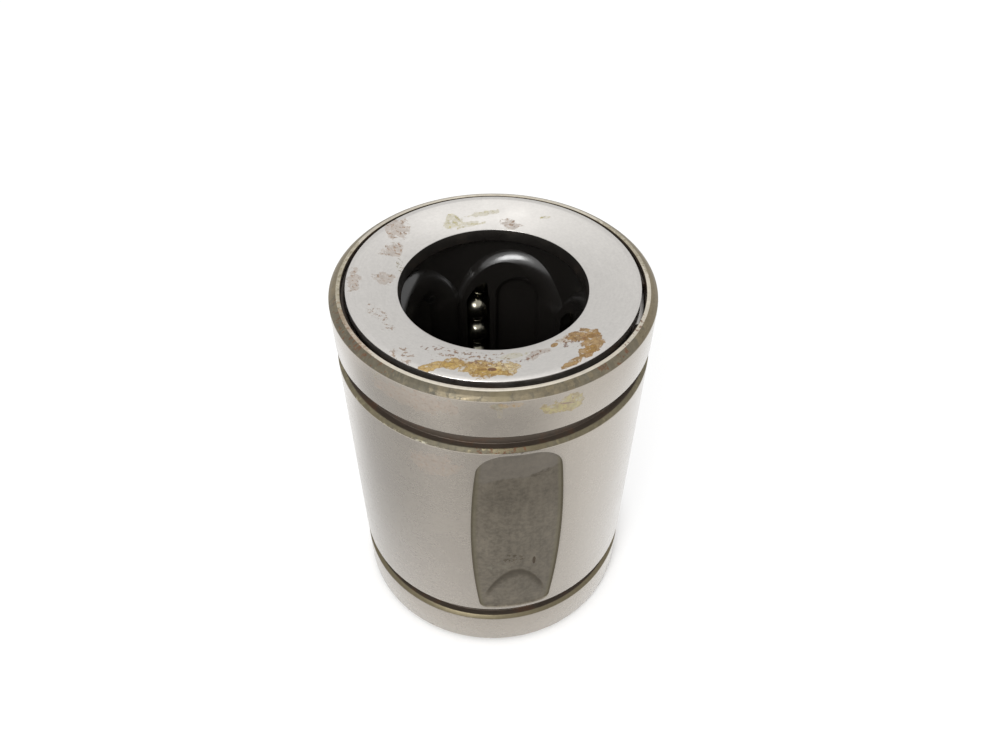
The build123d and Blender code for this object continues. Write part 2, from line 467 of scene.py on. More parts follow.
def stain_group() -> bpy.types.NodeTree:
    """Build the mask of one stain, rust patch or cluster of rust specks.

    Returns:
        A group that takes a place, the stain's middle, half-sizes, turn and kind, and the finish's own
        noises, and gives the stain's mask, and the body and darker outline of a solid one.
    """
    full_wander = 4.0
    edge_range, solid_range, outline_range = (0.93, 1.05, 1.0, 0.0), (0.6, 0.9), (0.72, 0.97)
    wire, given, out = new_group(
        "stain",
        {"Place": ORIGIN, "Middle": ORIGIN, "Turn": 0.0, "Half Size": (1.0, 1.0, 1.0), "Wander": 0.0,
         "Raggedness": 0.5, "Specks": 1.0, "Solid": 1.0},
        ("Mask", "Body", "Outline"),
    )
    turned = wire.add("VectorRotate", {"rotation_type": "Z_AXIS"}, Vector=given["Place"],
                      Center=given["Middle"], Angle=given["Turn"])
    offset = wire.vector("SUBTRACT", turned.outputs[0], given["Middle"])
    reach = wire.vector("LENGTH", wire.vector("DIVIDE", offset, given["Half Size"]))
    edge = wire.plus(reach, wire.times(given["Wander"], full_wander, given["Raggedness"]))
    inside = wire.between(edge, *edge_range)
    body = wire.times(inside, wire.between(given["Solid"], *solid_range))
    wire.feed(out["Mask"], wire.times(inside, wire.math("MAXIMUM", given["Specks"], given["Solid"])))
    wire.feed(out["Body"], body)
    wire.feed(out["Outline"], wire.times(body, wire.between(edge, *outline_range)))
    return wire.tree


def ground_group() -> bpy.types.NodeTree:
    """Build the grain of worn machined steel: soft blotches, fine mottling, tool lines and grit.

    Returns:
        A group that takes a place and the tool lines' place, and gives tone, roughness and height.
    """
    wire, given, out = new_group(
        "machined_grain",
        {"Place": ORIGIN, "Line Place": ORIGIN, "Blotch": 0.1, "Mottle": 0.1, "Line Depth": 0.3},
        ("Tone", "Roughness Shift", "Height"),
    )
    cloud_share, grit_share, line_tone, line_dulling, soft_dulling = 0.7, 0.25, 0.3, 0.2, 0.15
    place = given["Place"]
    cloud = wire.swing(place, 900.0, 4.0, 0.65)
    soft = wire.plus(wire.swing(place, 190.0, roughness=0.55), wire.times(cloud, cloud_share))
    lined = wire.times(wire.swing(given["Line Place"], 9000.0, 2.0, 0.7), given["Line Depth"])
    mottle = wire.times(wire.swing(place, 3600.0), given["Mottle"])
    shade = wire.plus(wire.times(soft, given["Blotch"]), mottle)
    wire.feed(out["Tone"], wire.plus(1.0, shade, wire.times(lined, line_tone)))
    dulled = wire.plus(wire.times(soft, soft_dulling), wire.times(lined, line_dulling))
    wire.feed(out["Roughness Shift"], dulled)
    wire.feed(out["Height"], wire.plus(lined, wire.times(wire.swing(place, 12000.0, 2.0), grit_share)))
    return wire.tree


def round_place(wire: Wiring) -> Socket:
    """Give arc length from the front and height on the sleeve's outside, as a vector."""
    parts = wire.split(wire.own_place())
    angle = wire.math("ARCTAN2", parts["X"], wire.times(parts["Y"], -1.0))
    return wire.add("CombineXYZ", X=wire.times(angle, outer_radius() * MM), Y=parts["Z"], Z=0.0).outputs[0]


# ---------------------------------------------------------------- stains


class Kind(Enum):
    """Kinds of stain: how far each covers the steel, how ragged it is and how solid inside."""

    PATCH = (0.95, 0.5, 0.93)
    GRIME = (0.85, 0.6, 0.6)
    FILM = (0.6, 0.6, 0.45)
    CLOUD = (0.85, 0.95, 0.4)
    SPECKS = (0.75, 0.75, 0.0)
    SPOT = (0.9, 0.2, 1.0)


@dataclass(frozen=True)
class Stain:
    """One stain, in millimetres and radians.

    Its x and y lie on an end face, or are the arc length from the front and the height on the sleeve.
    """

    kind: Kind
    tint: Colour
    x: float
    y: float
    half_width: float
    half_height: float
    turn: float = 0.0

    def lay(self, wire: Wiring, where: Socket, wander: Socket, specks: Socket) -> tuple[Socket, Sockets]:
        """Add the stain to a finish.

        Args:
            wire: the finish's wiring.
            where: the place on the finish.
            wander: the noise that makes its outline ragged.
            specks: the noise that breaks it up where it isn't solid.

        Returns:
            How far it covers the finish, and its group's outputs.
        """
        cover, ragged, solid = self.kind.value
        group = bpy.data.node_groups.get("stain") or stain_group()
        spot = wire.add("Group", {"node_tree": group}, Place=where, Middle=(self.x * MM, self.y * MM, 0.0),
                        Turn=-self.turn, Half_Size=(self.half_width * MM, self.half_height * MM, 1.0),
                        Wander=wander, Raggedness=ragged, Specks=specks, Solid=solid).outputs
        return wire.times(spot["Mask"], cover), spot


def stains(*rows: tuple) -> tuple[Stain, ...]:
    """Make stains from rows of a table: kind, tint, x, y, half width, half height and turn."""
    return tuple(Stain(*row) for row in rows)


PATCH, GRIME, FILM, CLOUD, SPECKS, SPOT = Kind

TAN = srgb(172, 142, 74)
STRAW = srgb(190, 170, 124)
OCHRE = srgb(146, 114, 56)
OLIVE = srgb(172, 163, 116)
LEAF = srgb(142, 128, 60)
MOSS = srgb(122, 112, 82)
RUST = srgb(104, 66, 40)
BROWN = srgb(134, 108, 84)
PALE = srgb(196, 192, 172)
SOOT = srgb(88, 84, 72)

FACE_STAINS = stains(
    # by the front edge
    (PATCH, TAN, -4.5, -11.0, 1.4, 0.5, 0.45),
    (PATCH, TAN, -3.2, -10.6, 0.95, 0.8, 0.9),
    (CLOUD, TAN, -2.2, -10.8, 0.9, 0.6, 0.1),
    (PATCH, TAN, -0.8, -11.1, 1.45, 1.2),
    (PATCH, STRAW, 0.8, -11.1, 1.2, 1.0, 0.1),
    (PATCH, TAN, -0.2, -11.7, 1.5, 0.5, 0.05),
    (FILM, OCHRE, -0.7, -12.0, 1.1, 0.4),
    (SPOT, RUST, -0.1, -11.2, 0.32, 0.26),
    (SPOT, OCHRE, -0.9, -11.2, 0.4, 0.25),
    (SPECKS, RUST, -0.4, -10.2, 1.5, 0.7),
    (FILM, OLIVE, 1.6, -9.3, 1.1, 0.4, 0.25),
    (SPECKS, RUST, -2.8, -9.0, 3.0, 0.5, -0.25),
    (SPECKS, BROWN, -1.6, -9.5, 3.0, 0.9, -0.1),
    (CLOUD, BROWN, 3.3, -9.3, 1.2, 0.4, 0.6),
    (SPECKS, RUST, 2.9, -9.6, 1.4, 0.4, 0.5),
    # hook-shaped patch at the right
    (CLOUD, OCHRE, 6.0, -7.2, 0.8, 0.5, 0.5),
    (PATCH, OCHRE, 7.2, -6.9, 1.2, 0.85, 0.3),
    (PATCH, OCHRE, 8.0, -8.2, 1.3, 0.85, 1.5),
    (PATCH, OCHRE, 7.4, -9.3, 1.0, 0.6, 0.92),
    (PATCH, OCHRE, 6.2, -10.6, 1.3, 0.35, 0.72),
    (SPOT, OCHRE, 4.9, -8.0, 0.38, 0.26, 0.9),
    (SPECKS, RUST, 6.2, -7.6, 1.4, 0.7, 0.4),
    # left, back and bore edge
    (CLOUD, BROWN, -9.3, 7.7, 1.6, 1.1, -0.86),
    (CLOUD, BROWN, -9.2, 4.5, 1.1, 0.7, 0.99),
    (CLOUD, BROWN, -9.6, 0.5, 1.0, 0.7, 1.12),
    (CLOUD, BROWN, -12.1, -0.5, 1.4, 0.5, -1.54),
    (SPECKS, BROWN, -7.0, -9.9, 1.4, 0.8, -0.94),
    (SPECKS, BROWN, -9.6, -4.4, 1.2, 0.6, -0.9),
    (SPECKS, BROWN, -8.8, -6.0, 0.8, 0.5, -0.9),
    (SPECKS, MOSS, -8.4, 2.6, 0.9, 0.3, -1.28),
    (CLOUD, OLIVE, -4.0, 9.2, 1.0, 0.8, 1.0),
    (FILM, OLIVE, -1.0, 10.4, 1.7, 0.3, 0.22),
    (FILM, OLIVE, -2.2, 9.0, 1.3, 0.35, 0.19),
    (CLOUD, BROWN, 1.6, 9.0, 0.9, 0.5, -0.36),
    (CLOUD, OLIVE, 4.9, 9.7, 0.5, 0.2),
)

WALL_STAINS = stains(
    (PATCH, LEAF, 6.1, 36.0, 1.3, 0.95, -0.35),
    (PATCH, LEAF, 4.9, 35.8, 1.4, 0.5, -0.3),
    (SPOT, RUST, 5.9, 36.1, 0.7, 0.07, -0.3),
    (PATCH, MOSS, 0.4, 36.9, 0.7, 0.32),
    (CLOUD, OCHRE, 1.5, 37.0, 0.9, 0.25),
    (FILM, MOSS, 0.5, 36.2, 0.2, 0.7),
    (SPECKS, MOSS, -9.9, 36.9, 0.7, 0.4, 0.4),
    (FILM, BROWN, -6.5, 36.2, 4.0, 1.0, 0.05),
    (FILM, BROWN, -5.0, 29.0, 2.2, 1.4, 0.05),
)

EDGE_STAINS = stains(
    (GRIME, SOOT, -12.5, 37.7, 7.0, 1.6),
    (GRIME, SOOT, -10.0, 37.6, 6.0, 1.2),
    (FILM, SOOT, 0.0, 37.6, 6.0, 1.2),
    (FILM, MOSS, 0.6, 37.7, 0.8, 0.6),
    (GRIME, SOOT, 10.5, 37.7, 4.0, 1.0),
    (SPECKS, RUST, -13.5, 37.9, 5.0, 0.4),
    (SPECKS, RUST, 10.6, 37.9, 1.6, 0.4),
)

RIM_STAINS = stains(
    (GRIME, MOSS, -13.3, 0.0, 1.4, 7.5, 0.05),
    (GRIME, BROWN, -11.4, -6.9, 3.2, 1.2, -1.02),
    (GRIME, MOSS, 12.6, 5.5, 1.4, 6.0, 0.4),
    (SPECKS, RUST, 11.8, -6.5, 2.0, 1.0, 0.9),
)

BEVEL_STAINS = stains(
    (GRIME, SOOT, -13.0, 31.45, 7.0, 0.6),
    (GRIME, SOOT, -4.0, 31.4, 5.0, 0.3),
    (GRIME, SOOT, 11.0, 31.4, 7.0, 0.4),
    (SPECKS, PALE, -8.5, 31.3, 6.0, 0.12),
    (SPECKS, RUST, 0.4, 31.45, 2.4, 0.3),
    (FILM, MOSS, -16.0, 31.45, 9.0, 0.5),
    (FILM, MOSS, 14.0, 31.45, 9.0, 0.5),
)


# ---------------------------------------------------------------- marking field


@dataclass(frozen=True)
class MarkingField:
    """The shallow bare field on the sleeve's middle land, in millimetres and degrees from +X."""

    angle: float = -81.0
    half_width: float = 4.2
    bulge: float = 0.75
    upper_corner: float = 2.6
    lower_corner: float = 0.9
    top: float = 31.048
    bottom: float = 7.182
    depth: float = 0.12
    middle: float = 19.115
    level_steps: int = 8
    corner_steps: int = 24
    side_steps: int = 40

    def arc_from_front(self) -> float:
        """Give the arc length on the wall from the front, at -90 degrees, to the field's centre line."""
        return math.radians(self.angle + 90) * outer_radius()

    def side(self, upper: bool) -> list[Point]:
        """Outline of the right half above or below the middle, from the vertical centre line to the side.

        Args:
            upper: True for the upper quarter.

        Returns:
            Points as distance to the right and distance from the field's middle height.
        """
        height = (self.top - self.middle) if upper else (self.middle - self.bottom)
        radius = self.upper_corner if upper else self.lower_corner
        sweep = (height**2 + self.bulge**2) / (2 * self.bulge)
        centre = self.half_width - sweep
        across = centre + math.sqrt((sweep - radius) ** 2 - (height - radius) ** 2)
        tilt = math.atan2(height - radius, across - centre)
        points = [(across * step / self.level_steps, height) for step in range(self.level_steps)]
        for step in range(self.corner_steps + 1):
            angle = math.pi / 2 - (math.pi / 2 - tilt) * step / self.corner_steps
            points.append((across + radius * math.cos(angle), height - radius + radius * math.sin(angle)))
        for step in range(1, self.side_steps + 1):
            angle = tilt * (1 - step / self.side_steps)
            points.append((centre + sweep * math.cos(angle), sweep * math.sin(angle)))
        return points

    def outline(self, quarter: int, share: float, offset: float) -> Point:
        """Find a point of the outline.

        Args:
            quarter: 0 to 3, clockwise from the top centre.
            share: how far along the quarter, 0 to 1.
            offset: how far outside the outline.

        Returns:
            The point as distance to the right of the centre line and height over the middle.
        """
        upper, right = quarter in (0, 3), quarter in (0, 1)
        points = self.side(upper)
        along = share if quarter in (0, 2) else 1 - share
        steps = [math.dist(a, b) for a, b in zip(points, points[1:])]
        left = along * sum(steps)
        index = 0
        while index < len(steps) - 1 and left > steps[index]:
            left -= steps[index]
            index += 1
        start, stop = Vector(points[index]), Vector(points[index + 1])
        direction = (stop - start).normalized()
        outward = Vector((-direction.y, direction.x))
        if index == 0 and along == 0:
            outward = Vector((0, 1))
        if along == 1:
            outward = Vector((1, 0))
        spot = start + direction * left + outward * offset
        return (spot.x if right else -spot.x, spot.y if upper else -spot.y)


# ---------------------------------------------------------------- finishes


@dataclass(frozen=True)
class Finish:
    """A finish: its name, the record's material slot that it stands for, its tone and its roughness."""

    name: str
    slot: str
    tone: Colour
    roughness: float

    def make(self) -> Material:
        """Build the material."""
        material = bpy.data.materials.new(self.name)
        material.use_nodes = True
        material["slot"] = self.slot
        self.wire_up(Wiring(material.node_tree), material.node_tree.nodes["Principled BSDF"].inputs)
        return material

    def wire_up(self, wire: Wiring, shader: Sockets) -> None:
        """Wire the finish's look to the inputs of its Principled shader."""
        raise NotImplementedError

    def oil_over(
        self, wire: Wiring, shader: Sockets, film: Socket, rough: Point, low: float = NOISE_LOW
    ) -> None:
        """Let a film of oil darken the tone and vary the roughness.

        Args:
            wire: the finish's wiring.
            shader: the shader's inputs.
            film: the noise of the film.
            rough: the roughness where there is no oil and where there is most of it.
            low: the noise's value from which oil darkens the tone.
        """
        oiled = 0.8
        red, green, blue, alpha = self.tone
        darker = (red * oiled, green * oiled, blue * oiled, alpha)
        wire.feed(shader["Base Color"], wire.blend(wire.between(film, low, NOISE_HIGH), self.tone, darker))
        wire.feed(shader["Roughness"], wire.between(film, NOISE_LOW, NOISE_HIGH, *rough))


@dataclass(frozen=True)
class Steel(Finish):
    """Machined bearing steel, with its tone, gloss, tool lines, film of oil and stains.

    A noise is its scale, detail and roughness; a range is what goes in and, if not 0 to 1, what comes out.
    """

    on_face: bool = False
    blotch: float = 0.12
    mottle: float = 0.1
    line_depth: float = 0.4
    oil: float = 0.0
    stains: tuple[Stain, ...] = ()
    bump: float = 0.05
    oil_ior: float = 2.0
    stain_dulling: float = 0.25
    stain_metal_loss: float = 0.75
    outline_share: float = 0.3
    line_stretch: Spot = (0.15, 0.15, 1.0)
    line_slowing: float = 0.1
    wander_noise: Numbers = (1100.0, 5.0, 0.65)
    speck_noise: Numbers = (2500.0, 4.0, 0.66)
    speck_range: Numbers = (0.53, 0.58)
    wear_noise: Numbers = (1900.0, 4.0, 0.7)
    wear_range: Numbers = (0.36, 0.45, 0.25, 1.0)
    level_range: Numbers = (0.6, 0.8)
    shade_noise: Numbers = (1700.0, 4.0, 0.7)
    shade_range: Numbers = (0.35, 0.65, 0.72, 1.12)
    vein_noise: Numbers = (1250.0, 4.0)
    vein_range: Numbers = (0.0, 0.028, 0.7, 0.0)

    def line_place(self, wire: Wiring, own: Socket) -> Socket:
        """Place the tool lines, which run round the axis: fine in radius on a face, in height on a wall.

        Args:
            wire: the material's wiring.
            own: the piece's own coordinates.

        Returns:
            Coordinates for the lines' noise, slow along a line and quick across it.
        """
        if not self.on_face:
            return wire.vector("MULTIPLY", own, self.line_stretch)
        flat = wire.vector("MULTIPLY", own, FLAT)
        slow = wire.split(wire.vector("SCALE", flat, self.line_slowing))
        return wire.add("CombineXYZ", X=slow["X"], Y=slow["Y"], Z=wire.vector("LENGTH", flat)).outputs[0]

    def stained(self, wire: Wiring, colour: Socket) -> tuple[Socket, Socket]:
        """Lay the stains over a colour.

        Args:
            wire: the material's wiring.
            colour: the clean steel's colour.

        Returns:
            The stained colour, and how far stains cover the metal.
        """
        where = wire.vector("MULTIPLY", wire.own_place(), FLAT) if self.on_face else round_place(wire)
        wander = wire.swing(where, *self.wander_noise)
        specks = wire.between(wire.noise(where, *self.speck_noise), *self.speck_range)
        level = wire.between(wire.noise(where, *self.wear_noise), *self.wear_range)
        if self.on_face:
            upward = wire.split(wire.add("NewGeometry").outputs["Normal"])["Z"]
            level = wire.times(level, wire.between(wire.math("ABSOLUTE", upward), *self.level_range))
        covered = bodies = outlines = 0.0
        for stain in self.stains:
            cover, spot = stain.lay(wire, where, wander, specks)
            share = wire.times(cover, level)
            colour = wire.blend(share, colour, stain.tint)
            covered = wire.math("MAXIMUM", covered, share)
            bodies = wire.math("MAXIMUM", bodies, spot["Body"])
            outlines = wire.math("MAXIMUM", outlines, spot["Outline"])
        shades = wire.between(wire.noise(where, *self.shade_noise), *self.shade_range)
        colour = wire.blend(covered, colour, wire.shaded(colour, shades))
        vein = wire.math("ABSOLUTE", wire.swing(where, *self.vein_noise))
        veins = wire.times(wire.between(vein, *self.vein_range), bodies)
        dark = wire.math("MAXIMUM", veins, wire.times(outlines, self.outline_share))
        return wire.blend(wire.times(dark, level), colour, RUST), covered

    def wire_up(self, wire: Wiring, shader: Sockets) -> None:
        """Wire the grain, the stains and the film of oil."""
        own = wire.own_place()
        group = bpy.data.node_groups.get("machined_grain") or ground_group()
        grain = wire.add("Group", {"node_tree": group}, Place=own, Line_Place=self.line_place(wire, own),
                         Blotch=self.blotch, Mottle=self.mottle, Line_Depth=self.line_depth).outputs
        colour = wire.shaded(self.tone, grain["Tone"])
        rough = wire.math("ADD", self.roughness, grain["Roughness Shift"], clamp=True)
        metal = 1.0
        if self.stains:
            colour, covered = self.stained(wire, colour)
            rough = wire.math("ADD", rough, wire.times(covered, self.stain_dulling), clamp=True)
            metal = wire.minus(1.0, wire.times(covered, self.stain_metal_loss))
        values = {"Base Color": colour, "Roughness": rough, "Metallic": metal, "Coat Weight": self.oil,
                  "Coat IOR": self.oil_ior, "Coat Roughness": self.roughness}
        for label, value in values.items():
            wire.feed(shader[label], value)
        wire.bump(shader, grain["Height"], self.bump)


@dataclass(frozen=True)
class FieldFinish(Finish):
    """The etched marking field: mottled grey, with a painted highlight over its upper edge and a dark arch of
    painted shade low down.

    Millimetres; across is the arc length from the field's centre line, heights are from the bushing's foot.
    """

    marking: MarkingField
    band_foot: float = 27.95
    band_slope: float = 0.19
    band_wave: float = 1.6
    arch_top: float = 13.9
    arch_fall: float = 450.0
    arch_half: float = 3.3
    arch_share: float = 0.75
    marks: tuple[Stain, ...] = stains(
        (SPOT, srgb(80, 68, 54), 1.75, 14.9, 0.16, 0.6),
        (SPECKS, srgb(84, 74, 60), -0.2, 15.7, 0.9, 0.8),
        (SPECKS, srgb(136, 132, 118), -1.5, 14.6, 1.2, 0.6),
        (FILM, srgb(84, 76, 66), 2.0, 28.2, 1.0, 0.28, 0.3),
    )

    def bands(self, wire: Wiring, colour: Socket, over: Socket) -> Socket:
        """Darken the upper half, and put the paler band of painted highlight over it, by the height over the
        band's foot.
        """
        dark, highlight_band = (-9 * MM, -2 * MM, 0.0, 0.25), (-0.2 * MM, 0.25 * MM, 0.0, 0.4)
        colour = wire.blend(wire.between(over, *dark), colour, srgb(84, 76, 66))
        # painted highlight: the paler band where the field's upper end slopes up to the wall
        return wire.blend(wire.between(over, *highlight_band), colour, srgb(136, 130, 122))

    def painted_shade_arch(self, wire: Wiring, across: Socket, height: Socket, mottle: Socket) -> Socket:
        """Draw the dark arch of painted shade: sharp along its upper edge, fading below it.

        Args:
            wire: the material's wiring.
            across: the distance from the centre line.
            height: the height over the bushing's foot.
            mottle: the finish's fine noise.

        Returns:
            How far the painted shade covers the field.
        """
        above, sharp, faded, side = -0.15 * MM, 0.3 * MM, 2.1 * MM, self.arch_half * MM
        ragged, side_fade = 0.5 * MM, 0.8 * MM
        crown = wire.minus(self.arch_top * MM, wire.times(across, across, self.arch_fall))
        under = wire.plus(wire.minus(crown, height), wire.times(wire.minus(mottle, 0.5), ragged))
        begins = wire.between(under, above, sharp)
        fades = wire.between(under, sharp, faded, 1.0, 0.0)
        ends = wire.between(wire.math("ABSOLUTE", across), side - side_fade, side, 1.0, 0.0)
        return wire.times(begins, fades, ends, self.arch_share)

    def rims(self, wire: Wiring, colour: Socket, across: Socket, height: Socket) -> Socket:
        """Put the olive rim beside both edges.

        Args:
            wire: the material's wiring.
            colour: the field's colour.
            across: the distance from the centre line.
            height: the height over the bushing's foot.

        Returns:
            The colour with the rims.
        """
        half_height = (self.marking.top - self.marking.bottom) / 2
        rise = wire.math("DIVIDE", wire.minus(height, self.marking.middle * MM), half_height * MM)
        side = wire.minus(self.marking.half_width * MM, wire.times(rise, rise, self.marking.bulge * MM))
        reach = wire.math("DIVIDE", wire.math("ABSOLUTE", across), side)
        rim, edge = (0.86, 0.95, 0.0, 0.5), (0.95, 1.0, 0.0, 0.6)
        colour = wire.blend(wire.between(reach, *rim), colour, srgb(118, 112, 90))
        return wire.blend(wire.between(reach, *edge), colour, srgb(88, 80, 64))

    def wire_up(self, wire: Wiring, shader: Sockets) -> None:
        """Wire the mottled ground, the bands with their painted highlight, the arch of painted shade, the rims and
        the marks.
        """
        own = wire.own_place()
        where = wire.vector("SUBTRACT", round_place(wire), (self.marking.arc_from_front() * MM, 0.0, 0.0))
        parts = wire.split(where)
        across, height = parts["X"], parts["Y"]
        mottle = wire.noise(own, 2600.0, 4.0, 0.65)
        cloud = wire.noise(own, 420.0)
        streak = wire.noise(wire.vector("MULTIPLY", own, (1.0, 1.0, 0.2)), 1500.0)
        fine = wire.between(mottle, 0.38, 0.62, 0.86, 1.14)
        broad = wire.between(cloud, 0.35, 0.65, -0.08, 0.08)
        shade = wire.plus(fine, broad, wire.between(streak, 0.35, 0.65, -0.07, 0.07))
        side = self.marking.half_width * MM
        colour = wire.shaded(self.tone, wire.times(shade, wire.between(across, -side, side, 1.12, 0.96)))
        wave = wire.times(wire.minus(cloud, 0.5), self.band_wave * MM)
        slope = wire.plus(wire.times(across, self.band_slope), self.band_foot * MM)
        colour = self.bands(wire, colour, wire.minus(wire.plus(height, wave), slope))
        # painted shade: the dark arch low in the field
        colour = wire.blend(self.painted_shade_arch(wire, across, height, mottle), colour, srgb(74, 66, 54))
        colour = self.rims(wire, colour, across, height)
        wander = wire.swing(where, 1500.0, 4.0, 0.65)
        specks = wire.between(wire.noise(where, 2600.0, 4.0, 0.62), 0.5, 0.58)
        for mark in self.marks:
            colour = wire.blend(mark.lay(wire, where, wander, specks)[0], colour, mark.tint)
        wire.feed(shader["Base Color"], colour)
        rough = (self.roughness - 0.06, self.roughness + 0.06)
        wire.feed(shader["Roughness"], wire.between(mottle, NOISE_LOW, NOISE_HIGH, *rough))
        wire.feed(shader["Metallic"], 1.0)
        wire.bump(shader, mottle, 0.12, 0.03)


@dataclass(frozen=True)
class OiledDark(Finish):
    """Dark oiled metal or oxide, with rust and dirt in it. On the end rings' bore it is also painted shade."""

    rust: Colour
    rust_share: float
    metallic: float = 0.6

    def wire_up(self, wire: Wiring, shader: Sockets) -> None:
        """Wire the dirt and rust."""
        own = wire.own_place()
        dirt = wire.noise(own, 420.0, 5.0, 0.7)
        rusted = wire.times(wire.between(dirt, 0.5, 0.68), self.rust_share)
        wire.feed(shader["Base Color"], wire.blend(rusted, self.tone, self.rust))
        wire.feed(shader["Metallic"], self.metallic)
        rough = (self.roughness - 0.08, self.roughness + 0.12)
        wire.feed(shader["Roughness"], wire.between(dirt, NOISE_LOW, NOISE_HIGH, *rough))
        wire.bump(shader, wire.noise(own, 6000.0, 2.0), 0.08)


@dataclass(frozen=True)
class BlackMoulding(Finish):
    """Glossy black moulding with a thin film of oil."""

    ior: float = 1.75

    def wire_up(self, wire: Wiring, shader: Sockets) -> None:
        """Wire the film of oil and the moulding's faint texture."""
        own = wire.own_place()
        wire.feed(shader["IOR"], self.ior)
        rough = (self.roughness - 0.05, self.roughness + 0.07)
        self.oil_over(wire, shader, wire.noise(own, 260.0, 4.0), rough)
        wire.bump(shader, wire.noise(own, 5200.0), 0.05)


@dataclass(frozen=True)
class PolishedBall(Finish):
    """Polished bearing steel with a faint film of oil."""

    def wire_up(self, wire: Wiring, shader: Sockets) -> None:
        """Wire the film of oil."""
        film = wire.noise(wire.own_place(), 900.0, roughness=0.5)
        wire.feed(shader["Metallic"], 1.0)
        self.oil_over(wire, shader, film, (self.roughness * 0.8, self.roughness * 1.5), 0.35)


# ---------------------------------------------------------------- sleeve


class Place(Enum):
    """Places on the sleeve that are finished differently, with their slots on its mesh."""

    WALL = 0
    RIM = 1
    CHAMFER = 2
    GROOVE = 3
    FIELD = 4
    INSIDE = 5
    BEVEL = 6


